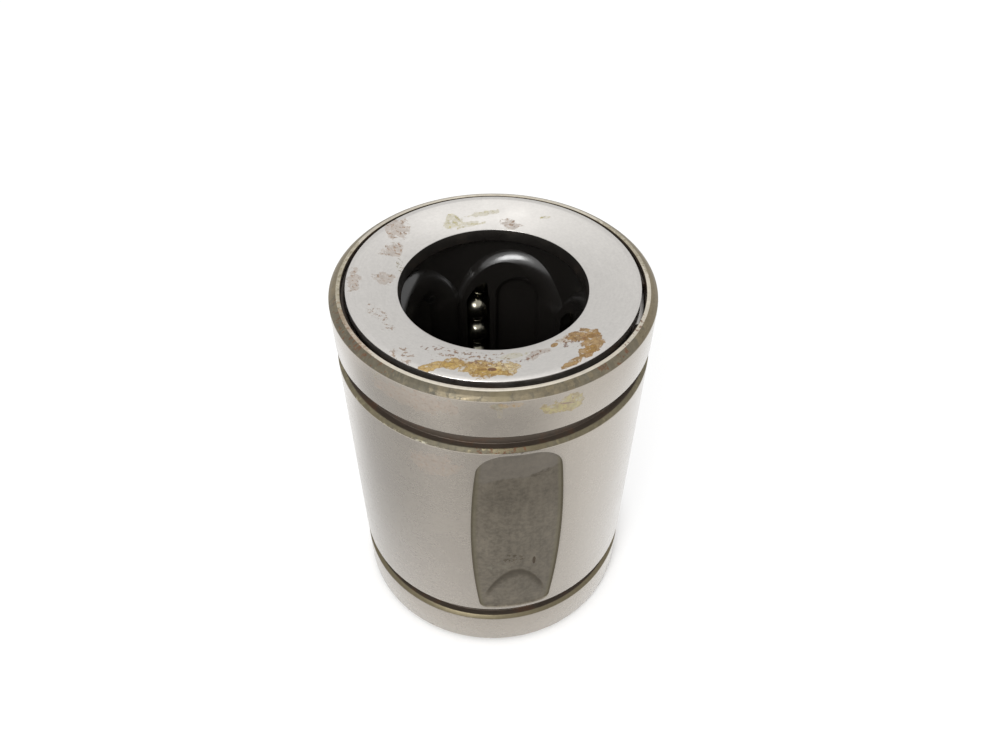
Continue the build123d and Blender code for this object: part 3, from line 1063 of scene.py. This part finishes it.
@dataclass
class Sleeve:
    """Hardened sleeve: ground wall, chamfered rims, two retaining ring grooves, seats and raceway lands.

    Sizes are in millimetres, angles in degrees from +X.
    """

    middle: float = LENGTH / 2
    recess: float = 0.2
    rim_wall: float = 1.03
    rim_chamfer_width: float = 0.7
    rim_chamfer_height: float = 0.48
    rim_chamfer_swell: float = 0.06
    groove_span: float = 28.04
    groove_width: float = 1.422
    groove_depth: float = 0.8625
    groove_chamfer: float = 0.33
    seat_depth: float = 1.9
    wire_groove: tuple[float, float] = (36.7, 37.46)
    wire_groove_depth: float = 0.31
    cavity_radius: float = 12.6397
    raceway_radius: float = 11.1225
    raceway_half_length: float = 9.1
    land_width: float = 4.2
    first_land: float = 100.8
    land_count: int = 5
    edge: float = 0.07
    column_step: float = 1.5
    wall_rows: int = 24
    field_reach: float = 22.5
    field_wall: tuple[Point, ...] = (
        (0.3, 0.0), (0.05, 0.0), (0.0, 0.1), (-0.05, 0.55), (-0.12, 0.93), (-0.2, 1.0),
    )
    field_pulls: tuple[float, ...] = (0.25, 0.5, 0.75, 1.0)
    field_spine: float = 6.5
    skin: float = 0.012
    level_normal: float = 0.95
    sloped_normal: float = 0.3
    marking: MarkingField = MarkingField()
    radius: float = field(default_factory=outer_radius)

    def rim_swell(self, radius: float, top: float) -> Point:
        """Find the middle of the rim's chamfer, which stands a little proud of the straight line.

        Args:
            radius: the wall's radius.
            top: the rim's height.

        Returns:
            Its radius and height.
        """
        width, height = self.rim_chamfer_width, self.rim_chamfer_height
        share = self.rim_chamfer_swell / math.hypot(width, height)
        return radius - width / 2 + height * share, top - height / 2 + width * share

    def half_section(self, on_land: bool) -> list[Point]:
        """Draw the wall's upper half.

        Args:
            on_land: True through a raceway land, False through the cavity beside it.

        Returns:
            Points as radius and height, from the outside's middle over the rim to the inside's middle.
        """
        top, radius, seat = LENGTH - self.recess, self.radius, self.radius - self.rim_wall
        high = self.middle + self.groove_span / 2
        low = high - self.groove_width
        chamfer, floor, rim_foot = self.groove_chamfer, radius - self.groove_depth, LENGTH - self.seat_depth
        wire_low, wire_high = self.wire_groove
        wire_floor = seat + self.wire_groove_depth
        last = low - chamfer - 3 * self.edge
        half_rows = self.wall_rows // 2
        rows = [(radius, self.middle + (last - self.middle) * row / half_rows) for row in range(half_rows)]
        edges = [
            (radius, last), (radius, low - chamfer), (radius - chamfer, low), (floor, low), (floor, high),
            (radius - chamfer, high), (radius, high + chamfer), (radius, top - self.rim_chamfer_height),
            self.rim_swell(radius, top), (radius - self.rim_chamfer_width, top), (seat, top),
            (seat, wire_high), (wire_floor, wire_high), (wire_floor, wire_low), (seat, wire_low),
            (seat, rim_foot), (self.cavity_radius, rim_foot),
        ]
        inner = self.raceway_radius if on_land else self.cavity_radius
        end = self.middle + self.raceway_half_length
        foot = end + self.cavity_radius - self.raceway_radius
        inside = [(self.cavity_radius, foot), (inner, end), (inner, self.middle)]
        return rows + rounded(edges, self.edge) + inside

    def section(self, on_land: bool) -> list[Point]:
        """Give the wall's whole closed section: the upper half and its mirror image."""
        upper = self.half_section(on_land)
        return upper + [(radius, LENGTH - height) for radius, height in reversed(upper[1:-1])]

    def columns(self) -> list[tuple[float, bool]]:
        """List the mesh's columns.

        Returns:
            Their angles, each with whether it cuts a land; a land's edges have two columns.
        """
        apart_by = 1e-9
        half = math.degrees(self.land_width / 2 / self.raceway_radius)
        pitch = 360 / self.land_count
        lands = [(self.first_land + number * pitch) % 360 for number in range(self.land_count)]
        angles = [step * self.column_step for step in range(round(360 / self.column_step))]
        places = [(angle, any(apart(angle, land) < half for land in lands)) for angle in angles]
        for land in lands:
            start, stop = (land - half) % 360, (land + half) % 360
            places += [(start, False), (start + apart_by, True), (stop, True), (stop + apart_by, False)]
        return sorted(places)

    def near_field(self, angle: float) -> bool:
        """Tell whether an angle lies within the rectangle that surrounds the marking field."""
        return apart(angle, self.marking.angle) <= self.field_reach + 1e-6

    def mesh(self) -> Mesh:
        """Build the sleeve.

        Returns:
            One closed mesh, with a slot number on every face.
        """
        shape = bmesh.new()
        sections = {flag: self.section(flag) for flag in (True, False)}
        columns = self.columns()
        grid = []
        for angle, flag in columns:
            turn = math.radians(angle)
            spots = [cylindrical(radius * MM, turn, height * MM) for radius, height in sections[flag]]
            grid.append([shape.verts.new(spot) for spot in spots])
        count, last = len(grid[0]), self.wall_rows // 2
        for index, (angle, _) in enumerate(columns):
            after = (index + 1) % len(columns)
            beside = self.near_field(angle) and self.near_field(columns[after][0])
            for row in range(count):
                if beside and not last <= row < count - last:
                    continue
                above = (row + 1) % count
                shape.faces.new((grid[index][row], grid[after][row], grid[after][above], grid[index][above]))
        inside = [index for index, (angle, _) in enumerate(columns) if self.near_field(angle)]
        centre = min(range(len(inside)), key=lambda i: apart(columns[inside[i]][0], self.marking.angle))
        self.add_field(shape, [grid[index] for index in inside], centre, last)
        mesh = closed_mesh("outer_sleeve_surface", shape)
        for face in mesh.polygons:
            face.material_index = self.place_of(face.center / MM, face.normal).value
        return mesh

    def add_field(self, shape: Shape, grid: list[list], centre: int, last: int) -> None:
        """Fill the rectangle round the marking field: the land, the field's edge, its wall and its floor.

        Args:
            shape: the shape to add to.
            grid: the vertices of the columns that cross the rectangle.
            centre: which of these columns is the field's centre line.
            last: rows from the middle to the rectangle's upper and lower edge.
        """
        left, right = grid[0], grid[-1]
        top, foot = [column[last] for column in grid], [column[-last] for column in grid]
        quarters = [
            top[centre:] + right[:last][::-1],
            [right[0]] + right[: -last - 1 : -1] + foot[centre:-1][::-1],
            foot[: centre + 1][::-1] + left[-last + 1 :] + [left[0]],
            left[: last + 1] + top[1 : centre + 1],
        ]
        shares, border = [], []
        for number, quarter in enumerate(quarters):
            lengths = [0.0]
            for before, here in zip(quarter, quarter[1:]):
                lengths.append(lengths[-1] + (here.co - before.co).length)
            border += quarter[:-1]
            shares += [(number, reach / lengths[-1]) for reach in lengths[:-1]]
        drawn = []
        for offset, sunk in self.field_wall:
            drawn.append(([self.marking.outline(*share, offset) for share in shares], sunk))
        for pull in self.field_pulls:
            loop = []
            for across, up in drawn[len(self.field_wall) - 1][0]:
                spine = max(-self.field_spine, min(self.field_spine, up))
                loop.append((across * (1 - pull), up + (spine - up) * pull))
            drawn.append((loop, 1.0))
        loops = [border]
        for spots, sunk in drawn:
            depth = self.marking.depth * sunk
            loops.append([shape.verts.new(self.on_wall(spot, depth)) for spot in spots])
        for outer, inner in zip(loops, loops[1:]):
            add_band(shape, outer, inner)

    def on_wall(self, spot: Point, depth: float) -> Vector:
        """Put a point of the marking field's drawing on the wall.

        Args:
            spot: the point.
            depth: how far it lies below the wall.

        Returns:
            The place in metres.
        """
        radius = self.radius - depth
        angle = math.radians(self.marking.angle) + math.asin(spot[0] / radius)
        return cylindrical(radius * MM, angle, (self.marking.middle + spot[1]) * MM)

    def place_of(self, centre: Vector, normal: Vector) -> Place:
        """Tell which finish a face gets.

        Args:
            centre: its middle, in millimetres.
            normal: its normal.

        Returns:
            The place that it belongs to.
        """
        reach, height, tilt = math.hypot(centre.x, centre.y), abs(centre.z - self.middle), abs(normal.z)
        below = self.radius - reach
        wall_slack, slack, seat_reach, rim_slack = 0.1, 0.03, 2.0, 0.04
        wire_wall = self.rim_wall - self.wire_groove_depth - 0.05
        seat_low, seat_high = self.middle - seat_reach, self.middle - self.recess - rim_slack
        groove_high = self.groove_span / 2 + self.groove_chamfer
        groove_low = self.groove_span / 2 - self.groove_width - self.groove_chamfer
        if below > self.rim_wall + wall_slack:
            return Place.INSIDE
        if below > wire_wall and seat_low < height < seat_high:
            return Place.GROOVE
        if groove_low < height < groove_high:
            if below < self.skin:
                return Place.WALL
            sloped = self.sloped_normal < tilt < self.level_normal and below < self.groove_chamfer + slack
            return Place.BEVEL if sloped else Place.GROOVE
        if height > self.middle - self.recess - self.rim_chamfer_height and below > self.skin:
            return Place.RIM if tilt > self.level_normal else Place.CHAMFER
        return Place.FIELD if height < groove_low and below > slack else Place.WALL

    def build(self, finishes: dict[Place, Material]) -> Piece:
        """Make the sleeve's piece, which stands for its node.

        Args:
            finishes: its finishes by place.

        Returns:
            The piece.
        """
        piece = finished_object("outer_sleeve_surface", self.mesh(), [finishes[place] for place in Place])
        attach(piece, HOUSING)
        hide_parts("outer_sleeve")
        return piece


# ---------------------------------------------------------------- end rings, snap rings, cage


@dataclass
class EndRing:
    """One end ring: a dished face, a steep entry to the bore, a flange under the snap ring. Millimetres."""

    end: End
    thickness: float = 1.9
    face_radius: float = 12.8075
    flange_radius: float = 13.1775
    flange_height: float = 0.5
    underside: float = 1.0
    land_width: float = 0.46
    dish_depth: float = 0.87
    entry_width: float = 0.22
    entry_depth: float = 1.0
    edge: float = 0.06
    dish_edge: float = 0.1
    columns: int = 240
    bore_normal: float = 0.6

    def section(self) -> list[Point]:
        """Draw the ring's closed section.

        Returns:
            Its points as radius and height, with its face up for the top ring and down for the bottom one.
        """
        bore = named(frame["record"]["mounts"], "shaft_bore")["dims"]["r_mm"]
        low, top = LENGTH - self.thickness, LENGTH
        land, step = self.face_radius - self.land_width, low + self.flange_height
        slope = self.dish_depth / (land - bore)
        face_foot = (bore + self.entry_width, top - self.dish_depth + self.entry_width * slope)
        entry_foot = (bore, face_foot[1] - self.entry_depth)
        outer = rounded([
            (land, top), (self.face_radius, top), (self.face_radius, step), (self.flange_radius, step),
            (self.flange_radius, low), (self.flange_radius - self.underside, low),
        ], self.edge)
        lip = corner(entry_foot, face_foot, (land, top), self.edge)
        dish = corner(face_foot, (land, top), (self.face_radius, top), self.dish_edge)
        points = [(bore, low), entry_foot] + lip + dish + outer[1:]
        return points if self.end is End.TOP else [(radius, LENGTH - height) for radius, height in points]

    def build(self, face: Material, bore: Material) -> Piece:
        """Make the ring's piece, which stands for its node.

        Args:
            face: the finish of its face and outside.
            bore: the finish of its bore and entry.

        Returns:
            The piece.
        """
        node = f"end_ring_{self.end.value}"
        section = [(radius * MM, height * MM) for radius, height in self.section()]
        mesh = revolved(node, section, self.columns)
        # The bore and the steep entry take the darker finish, which is partly painted shade of the bore.
        for side in mesh.polygons:
            inward = side.normal.x * side.center.x + side.normal.y * side.center.y < 0.0
            if inward and abs(side.normal.z) < self.bore_normal:
                side.material_index = 1
        piece = finished_object(f"{node}_surface", mesh, [face, bore])
        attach(piece, HOUSING)
        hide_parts(node)
        return piece


class GrownShape(Wiring):
    """A Geometry Nodes tree with named inputs, turned into a plain mesh."""

    def __init__(self, name: str, inputs: dict[str, str]) -> None:
        """Start a tree.

        Args:
            name: the tree's name.
            inputs: socket kind by name.
        """
        super().__init__(bpy.data.node_groups.new(name, "GeometryNodeTree"), "GeometryNode")
        face = self.tree.interface
        self.sockets = {
            label: face.new_socket(label, in_out="INPUT", socket_type="NodeSocket" + kind)
            for label, kind in inputs.items()
        }
        face.new_socket("Geometry", in_out="OUTPUT", socket_type="NodeSocketGeometry")
        self.given = self.tree.nodes.new("NodeGroupInput").outputs
        self.out = self.tree.nodes.new("NodeGroupOutput").inputs

    def end_with(self, geometry: Socket) -> None:
        """Close the tree with Realize Instances, Set Shade Smooth and Set Material."""
        real = self.add("RealizeInstances", Geometry=geometry)
        smooth = self.add("SetShadeSmooth", Geometry=real.outputs[0])
        dressed = self.add("SetMaterial", Geometry=smooth.outputs[0], Material=self.given["Material"])
        self.feed(self.out[0], dressed.outputs[0])

    def mesh(self, name: str, values: dict[str, object]) -> Mesh:
        """Evaluate the tree on its own and keep the result.

        Args:
            name: the mesh's name.
            values: a value for each named input.

        Returns:
            The plain mesh.
        """
        holder = linked(name, bpy.data.meshes.new(name + "_seed"))
        modifier = holder.modifiers.new(self.tree.name, "NODES")
        modifier.node_group = self.tree
        for label, value in values.items():
            modifier[self.sockets[label].identifier] = value
        mesh = evaluated_mesh(holder)
        bpy.data.objects.remove(holder)
        mesh.name = name
        return mesh


def evaluated_mesh(piece: Piece) -> Mesh:
    """Give an object's mesh as its modifiers leave it, in a mesh of its own."""
    return bpy.data.meshes.new_from_object(piece.evaluated_get(bpy.context.evaluated_depsgraph_get()))


@dataclass
class SnapRings:
    """The two split rings of round spring wire, in millimetres and degrees."""

    circle_radius: float = 13.2075
    wire_radius: float = 0.34
    opening: float = 24.0
    arc_points: int = 241
    wire_points: int = 20
    sharp: float = 50.0
    tree: GrownShape = field(init=False)

    def __post_init__(self) -> None:
        """Build the tree that sweeps the wire."""
        self.tree = GrownShape("split_wire_ring", {
            "Circle Radius": "Float", "Wire Radius": "Float", "Sweep": "Float", "Height": "Vector",
            "Material": "Material",
        })
        grow, given = self.tree, self.tree.given
        arc = grow.add("CurveArc", {"mode": "RADIUS"}, Resolution=self.arc_points,
                       Radius=given["Circle Radius"], Start_Angle=0.0, Sweep_Angle=given["Sweep"])
        wire = grow.add("CurvePrimitiveCircle", Resolution=self.wire_points, Radius=given["Wire Radius"])
        swept = grow.add("CurveToMesh", Curve=arc.outputs[0], Profile_Curve=wire.outputs[0], Fill_Caps=True)
        placed = grow.add("Transform", Geometry=swept.outputs[0], Translation=given["Height"])
        grow.end_with(placed.outputs[0])

    def build(self, end: End, material: Material) -> Piece:
        """Make one ring's piece, which stands for its node.

        Args:
            end: the end that it lies at.
            material: its finish.

        Returns:
            The piece.
        """
        node = f"snap_ring_{end.value}"
        low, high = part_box(node)
        mesh = self.tree.mesh(node, {
            "Circle Radius": self.circle_radius * MM,
            "Wire Radius": self.wire_radius * MM,
            "Sweep": math.radians(360 - self.opening),
            "Height": (0.0, 0.0, (low.z + high.z) / 2),
            "Material": material,
        })
        shape = bmesh.new()
        shape.from_mesh(mesh)
        piece = finished_object(f"{node}_wire", closed_mesh(node + "_welded", shape), [material], self.sharp)
        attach(piece, HOUSING)
        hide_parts(node)
        return piece


@dataclass
class BallCage:
    """The moulded cage, taken over from its node with its edges softened."""

    weld: float = 1e-6
    sliver: float = 2e-6
    sharp: float = 24.0
    upright_normal: float = 0.02
    sloped_normal: float = 0.05

    def evened(self, piece: Piece) -> Mesh:
        """Crease the upright walls' edges and weigh normals by area, so that slivers don't bend the light.

        Args:
            piece: the cage.

        Returns:
            Its mesh with even normals.
        """
        shape = bmesh.new()
        shape.from_mesh(piece.data)
        for edge in shape.edges:
            tilts = sorted(abs(face.normal.z) for face in edge.link_faces)
            if tilts[0] < self.upright_normal and tilts[-1] > self.sloped_normal:
                edge.smooth = False
        shape.to_mesh(piece.data)
        shape.free()
        modifier = piece.modifiers.new("even_normals", "WEIGHTED_NORMAL")
        modifier.mode = "FACE_AREA"
        modifier.weight = 100
        modifier.keep_sharp = True
        mesh = evaluated_mesh(piece)
        piece.modifiers.remove(modifier)
        return mesh

    def build(self, material: Material) -> Piece:
        """Make the cage's piece, which stands for its node.

        Args:
            material: its finish.

        Returns:
            The piece.
        """
        shape = bmesh.new()
        shape.from_mesh(frame["nodes"]["ball_cage"].data)
        bmesh.ops.remove_doubles(shape, verts=shape.verts, dist=self.weld)
        bmesh.ops.dissolve_degenerate(shape, dist=self.sliver, edges=shape.edges)
        mesh = stored("ball_cage_surface", shape)
        piece = finished_object("ball_cage_surface", mesh, [material], self.sharp)
        piece.data = self.evened(piece)
        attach(piece, HOUSING)
        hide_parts("ball_cage")
        return piece


# ---------------------------------------------------------------- balls


@dataclass
class BallCircuits:
    """The five closed circuits of balls: two straight rows and two turns each. Millimetres and degrees."""

    circuits: int = 5
    balls_per_row: int = 6
    balls_per_turn: int = 4
    diameter: float = 3.175
    segments: int = 32
    rings: int = 16
    sharp: float = 80.0
    row: GrownShape = field(init=False)
    turn: GrownShape = field(init=False)

    def __post_init__(self) -> None:
        """Build the trees for a straight row and for a turn."""
        self.row = grow = GrownShape("straight_ball_row", {
            "Count": "Int", "Ball Radius": "Float", "First": "Vector", "Step": "Vector",
            "Material": "Material",
        })
        line = grow.add("MeshLine", {"mode": "OFFSET"}, Count=grow.given["Count"],
                        Start_Location=grow.given["First"], Offset=grow.given["Step"])
        self.strew(grow, line.outputs[0])
        self.turn = grow = GrownShape("turning_ball_row", {
            "Count": "Int", "Ball Radius": "Float", "Turn Radius": "Float", "First Angle": "Float",
            "Sweep": "Float", "Centre": "Vector", "Lean": "Rotation", "Material": "Material",
        })
        arc = grow.add("CurveArc", {"mode": "RADIUS"}, Resolution=grow.given["Count"],
                       Radius=grow.given["Turn Radius"], Start_Angle=grow.given["First Angle"],
                       Sweep_Angle=grow.given["Sweep"])
        line = grow.add("CurveToMesh", Curve=arc.outputs[0])
        placed = grow.add("Transform", Geometry=line.outputs[0], Translation=grow.given["Centre"],
                          Rotation=grow.given["Lean"])
        self.strew(grow, placed.outputs[0])

    def strew(self, grow: GrownShape, places: Socket) -> None:
        """Put a ball on every point of a tree's places, and close the tree."""
        ball = grow.add("MeshUVSphere", Segments=self.segments, Rings=self.rings,
                        Radius=grow.given["Ball Radius"])
        balls = grow.add("InstanceOnPoints", Points=places, Instance=ball.outputs[0])
        grow.end_with(balls.outputs[0])

    def place(self, node: str, mesh: Mesh, material: Material) -> Piece:
        """Let a group's mesh ride on its own body and stand for its node.

        Args:
            node: the group's node, which is its body's name too.
            mesh: its mesh.
            material: the balls' finish.

        Returns:
            The group's piece.
        """
        piece = finished_object(f"{node}_balls", mesh, [material], self.sharp)
        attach(piece, node)
        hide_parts(node)
        return piece

    def build_row(self, kind: Row, number: int, material: Material) -> Piece:
        """Make a straight row.

        Args:
            kind: the load row or the return row.
            number: the circuit's number, from 1.
            material: the balls' finish.

        Returns:
            The row's piece.
        """
        node = f"{kind.value}_{number}"
        low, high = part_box(node)
        radius = self.diameter * MM / 2
        step = (high.z - low.z - 2 * radius) / (self.balls_per_row - 1)
        middle = (low + high) / 2
        mesh = self.row.mesh(node, {
            "Count": self.balls_per_row,
            "Ball Radius": radius,
            "First": (middle.x, middle.y, low.z + radius),
            "Step": (0.0, 0.0, step),
            "Material": material,
        })
        return self.place(node, mesh, material)

    def build_turn(self, kind: Turn, number: int, material: Material) -> Piece:
        """Make a turn, half a step away from both rows.

        Args:
            kind: the upper or the lower turn.
            number: the circuit's number, from 1.
            material: the balls' finish.

        Returns:
            The turn's piece.
        """
        node = f"{kind.value}_{number}"
        hinge = named(frame["joints"], f"{node}_roll")
        centre, axis = Vector(hinge["pos_m"]), Vector(hinge["axis"]).normalized()
        low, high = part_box(f"{Row.LOAD.value}_{number}")
        foot = (low + high) / 2
        foot.z = centre.z
        first = foot - centre
        across = first.normalized()
        lean = Matrix((across, axis.cross(across), axis)).transposed().to_euler()
        step = math.pi / self.balls_per_turn
        mesh = self.turn.mesh(node, {
            "Count": self.balls_per_turn,
            "Ball Radius": self.diameter * MM / 2,
            "Turn Radius": first.length,
            "First Angle": step / 2,
            "Sweep": math.pi - step,
            "Centre": tuple(centre),
            "Lean": tuple(lean),
            "Material": material,
        })
        return self.place(node, mesh, material)

    def build(self, material: Material) -> list[Piece]:
        """Make all the groups of all the circuits.

        Args:
            material: the balls' finish.

        Returns:
            Their pieces, circuit by circuit.
        """
        pieces = []
        for number in range(1, self.circuits + 1):
            pieces += [self.build_row(kind, number, material) for kind in Row]
            pieces += [self.build_turn(kind, number, material) for kind in Turn]
        return pieces


# ---------------------------------------------------------------- floor, light and camera


@dataclass(frozen=True)
class ShadeCard:
    """A soft-edged dark card of painted shade on the floor, which only reflections see. Metres; dark is up to 1.
    """

    name: str
    middle: Spot
    radius: float
    solid: float
    dark: float
    segments: int = 96

    def build(self) -> None:
        """Lay the card on the floor."""
        shape = bmesh.new()
        bmesh.ops.create_circle(shape, cap_ends=True, segments=self.segments, radius=self.radius)
        bmesh.ops.translate(shape, verts=shape.verts, vec=self.middle)
        card = linked(self.name, stored(self.name, shape))
        wire, paint = painted(card, self.name + "_paint", (0.05, 0.05, 0.05, 1.0), 1.0)
        reach = wire.vector("LENGTH", wire.vector("SUBTRACT", wire.own_place(), self.middle))
        share = wire.between(reach, self.solid, self.radius, 1.0 - self.dark, 1.0)
        wire.surface(share, paint.outputs[0], wire.add("BsdfTransparent").outputs[0])
        card.visible_camera = False
        card.visible_diffuse = False
        card.visible_shadow = False
        card.visible_transmission = False


@dataclass(frozen=True)
class Lamp:
    """A soft round light that faces the bushing's upper end: its middle, diameter and power in watts."""

    name: str
    place: Spot
    size: float
    power: float
    target: Spot = (0.0, 0.0, 0.038)

    def build(self) -> None:
        """Hang the light."""
        light = bpy.data.lights.new(self.name, "AREA")
        light.shape = "DISK"
        light.size = self.size
        light.energy = self.power
        lamp = linked(self.name, light)
        lamp.location = self.place
        aim = Vector(self.target) - lamp.location
        lamp.rotation_euler = aim.to_track_quat("-Z", "Y").to_euler()


def painted(piece: Piece, name: str, colour: Colour, roughness: float) -> tuple[Wiring, Node]:
    """Give a piece of the studio a plain material.

    Args:
        piece: the piece.
        name: the material's name.
        colour: its colour.
        roughness: its roughness.

    Returns:
        The material's wiring and its Principled shader.
    """
    material = bpy.data.materials.new(name)
    material.use_nodes = True
    piece.data.materials.append(material)
    shader = material.node_tree.nodes["Principled BSDF"]
    shader.inputs["Base Color"].default_value = colour
    shader.inputs["Roughness"].default_value = roughness
    return Wiring(material.node_tree), shader


@dataclass
class Studio:
    """White floor with dark cards of painted shade, white surroundings, two soft lights overhead and the camera.
    Metres and radians.
    """

    floor_half: float = 3.0
    world_light: float = 1.0
    floor_glow: float = 0.6
    foot_radius: float = 0.0143
    contact_width: float = 0.004
    shade_cards: tuple[ShadeCard, ...] = (
        # Painted shade that only reflections see: the shaded floor inside the bore, and the floor before and left
        # of the bushing, darkened as if the camera shaded it.
        ShadeCard("bore_shade_card", (0.0, 0.0, 0.00002), 0.0141, 0.0125, 1.0),
        ShadeCard("front_shade_card", (0.004, -0.046, 0.00004), 0.042, 0.01, 0.42),
        ShadeCard("left_shade_card", (-0.038, -0.014, 0.00006), 0.034, 0.01, 0.42),
    )
    lamps: tuple[Lamp, ...] = (
        Lamp("front_light", (-0.1, -0.25, 0.26), 0.14, 0.6),
        Lamp("back_light", (0.0, 0.2, 0.38), 0.1, 0.05),
    )
    camera_place: Spot = (0.000012, -0.055715, 0.081389)
    camera_yaw: float = 0.0114
    camera_pitch: float = 0.7812
    camera_roll: float = 0.0101
    lens: float = 29.042
    sensor_width: float = 36.0
    clip: tuple[float, float] = (0.002, 20.0)

    def seen(self, wire: Wiring) -> Socket:
        """Whether a ray is one that shows the background: from the camera, a reflection or through glass."""
        path = wire.add("LightPath").outputs
        either = wire.math("MAXIMUM", path["Is Camera Ray"], path["Is Glossy Ray"])
        return wire.math("MAXIMUM", either, path["Is Transmission Ray"])

    def build_world(self) -> None:
        """Make the surroundings: white where they are seen, softer where they light the object."""
        world = bpy.data.worlds.new("studio_surroundings")
        bpy.context.scene.world = world
        world.use_nodes = True
        wire = Wiring(world.node_tree)
        background = world.node_tree.nodes["Background"].inputs
        background["Color"].default_value = WHITE
        strength = wire.add("MapRange", Value=self.seen(wire), To_Min=self.world_light, To_Max=1.0)
        wire.feed(background["Strength"], strength.outputs[0])

    def build_floor(self) -> None:
        """Make the white floor, which keeps a faint shadow of the object."""
        mesh = bpy.data.meshes.new("floor")
        half = self.floor_half
        corners = [(-half, -half, 0), (half, -half, 0), (half, half, 0), (-half, half, 0)]
        mesh.from_pydata(corners, [], [(0, 1, 2, 3)])
        floor = linked("floor", mesh)
        wire, paper = painted(floor, "white_paper", (0.98, 0.98, 0.98, 1.0), 0.9)
        paper.inputs["Specular IOR Level"].default_value = 0.0
        glow = wire.add("Emission", Color=WHITE, Strength=1.0)
        reach = wire.vector("LENGTH", wire.own_place())
        contact_end = self.foot_radius + self.contact_width
        clear = wire.between(reach, self.foot_radius, contact_end, 0.0, self.floor_glow)
        wire.surface(wire.times(self.seen(wire), clear), paper.outputs[0], glow.outputs[0])

    def build_camera(self) -> None:
        """Place the camera and make it the scene's."""
        yaw, pitch, roll = self.camera_yaw, self.camera_pitch, self.camera_roll
        ahead = Vector((math.sin(yaw) * math.cos(pitch), math.cos(yaw) * math.cos(pitch), -math.sin(pitch)))
        level = Vector((math.cos(yaw), -math.sin(yaw), 0.0))
        rise = level.cross(ahead)
        right = level * math.cos(roll) + rise * math.sin(roll)
        up = rise * math.cos(roll) - level * math.sin(roll)
        lens = bpy.data.cameras.new("camera")
        lens.lens, lens.sensor_width = self.lens, self.sensor_width
        lens.clip_start, lens.clip_end = self.clip
        camera = linked("camera", lens)
        turn = Matrix((right, up, -ahead)).transposed().to_4x4()
        camera.matrix_world = Matrix.Translation(self.camera_place) @ turn
        bpy.context.scene.camera = camera

    def build(self) -> None:
        """Set up the whole studio."""
        self.build_world()
        self.build_floor()
        for thing in self.shade_cards + self.lamps:
            thing.build()
        self.build_camera()
        bpy.context.scene.view_settings.view_transform = "Standard"


# ---------------------------------------------------------------- the whole scene


def sleeve_finishes(marking: MarkingField) -> dict[Place, Material]:
    """Make the sleeve's finishes.

    Args:
        marking: the marking field.

    Returns:
        The finishes by place.
    """
    slot = "ground_steel"
    finishes = {
        Place.WALL: Steel("ground_wall_steel", slot, srgb(157, 147, 133), 0.27, blotch=0.18, mottle=0.2,
                          oil=1.0, stains=WALL_STAINS),
        Place.RIM: Steel("turned_rim_steel", slot, srgb(198, 191, 177), 0.34, on_face=True, blotch=0.4,
                         mottle=0.3, stains=RIM_STAINS),
        Place.CHAMFER: Steel("turned_chamfer_steel", slot, srgb(126, 116, 96), 0.42, blotch=0.4, mottle=0.35,
                             line_depth=3.0, stains=EDGE_STAINS),
        Place.GROOVE: OiledDark("dark_groove_steel", slot, srgb(86, 77, 68), 0.42, srgb(100, 72, 54), 0.6),
        Place.FIELD: FieldFinish("etched_field_steel", slot, srgb(120, 113, 101), 0.5, marking),
        Place.INSIDE: Steel("raceway_steel", slot, srgb(74, 70, 64), 0.25),
        Place.BEVEL: Steel("groove_bevel_steel", slot, srgb(108, 100, 81), 0.42, blotch=0.3, mottle=0.4,
                           line_depth=0.8, stains=BEVEL_STAINS),
    }
    return {place: finish.make() for place, finish in finishes.items()}


def main() -> None:
    """Build the bushing's pieces in order, then the studio."""
    logging.basicConfig(level=logging.INFO, format="%(name)s: %(message)s")
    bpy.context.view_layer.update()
    sleeve = Sleeve()
    pieces = [sleeve.build(sleeve_finishes(sleeve.marking))]
    turned = Steel("lapped_face_steel", "turned_steel", srgb(195, 192, 188), 0.34, on_face=True, blotch=0.05,
                   mottle=0.22, line_depth=0.6, stains=FACE_STAINS).make()
    # The rings' bore and entry: oiled steel with rust, much darker than the face, which is partly painted shade of
    # the bore.
    bore = OiledDark("oiled_bore_steel_painted_shade", "turned_steel", srgb(40, 37, 34), 0.35, srgb(62, 52, 42), 0.5)
    dark = bore.make()
    pieces += [EndRing(end).build(turned, dark) for end in End]
    wire = OiledDark("oiled_spring_wire", "spring_wire", srgb(52, 46, 40), 0.4, srgb(96, 70, 48), 0.8).make()
    rings = SnapRings()
    pieces += [rings.build(end, wire) for end in End]
    moulding = BlackMoulding("oiled_black_moulding", "black_resin", srgb(32, 30, 28), 0.2).make()
    pieces.append(BallCage().build(moulding))
    polished = PolishedBall("polished_ball_steel", "chrome_steel_ball", srgb(146, 142, 128), 0.17).make()
    pieces += BallCircuits().build(polished)
    for piece in pieces:
        LOG.info("%s: %d faces", piece.name, len(piece.data.polygons))
    Studio().build()


if __name__ == "__main__":
    main()
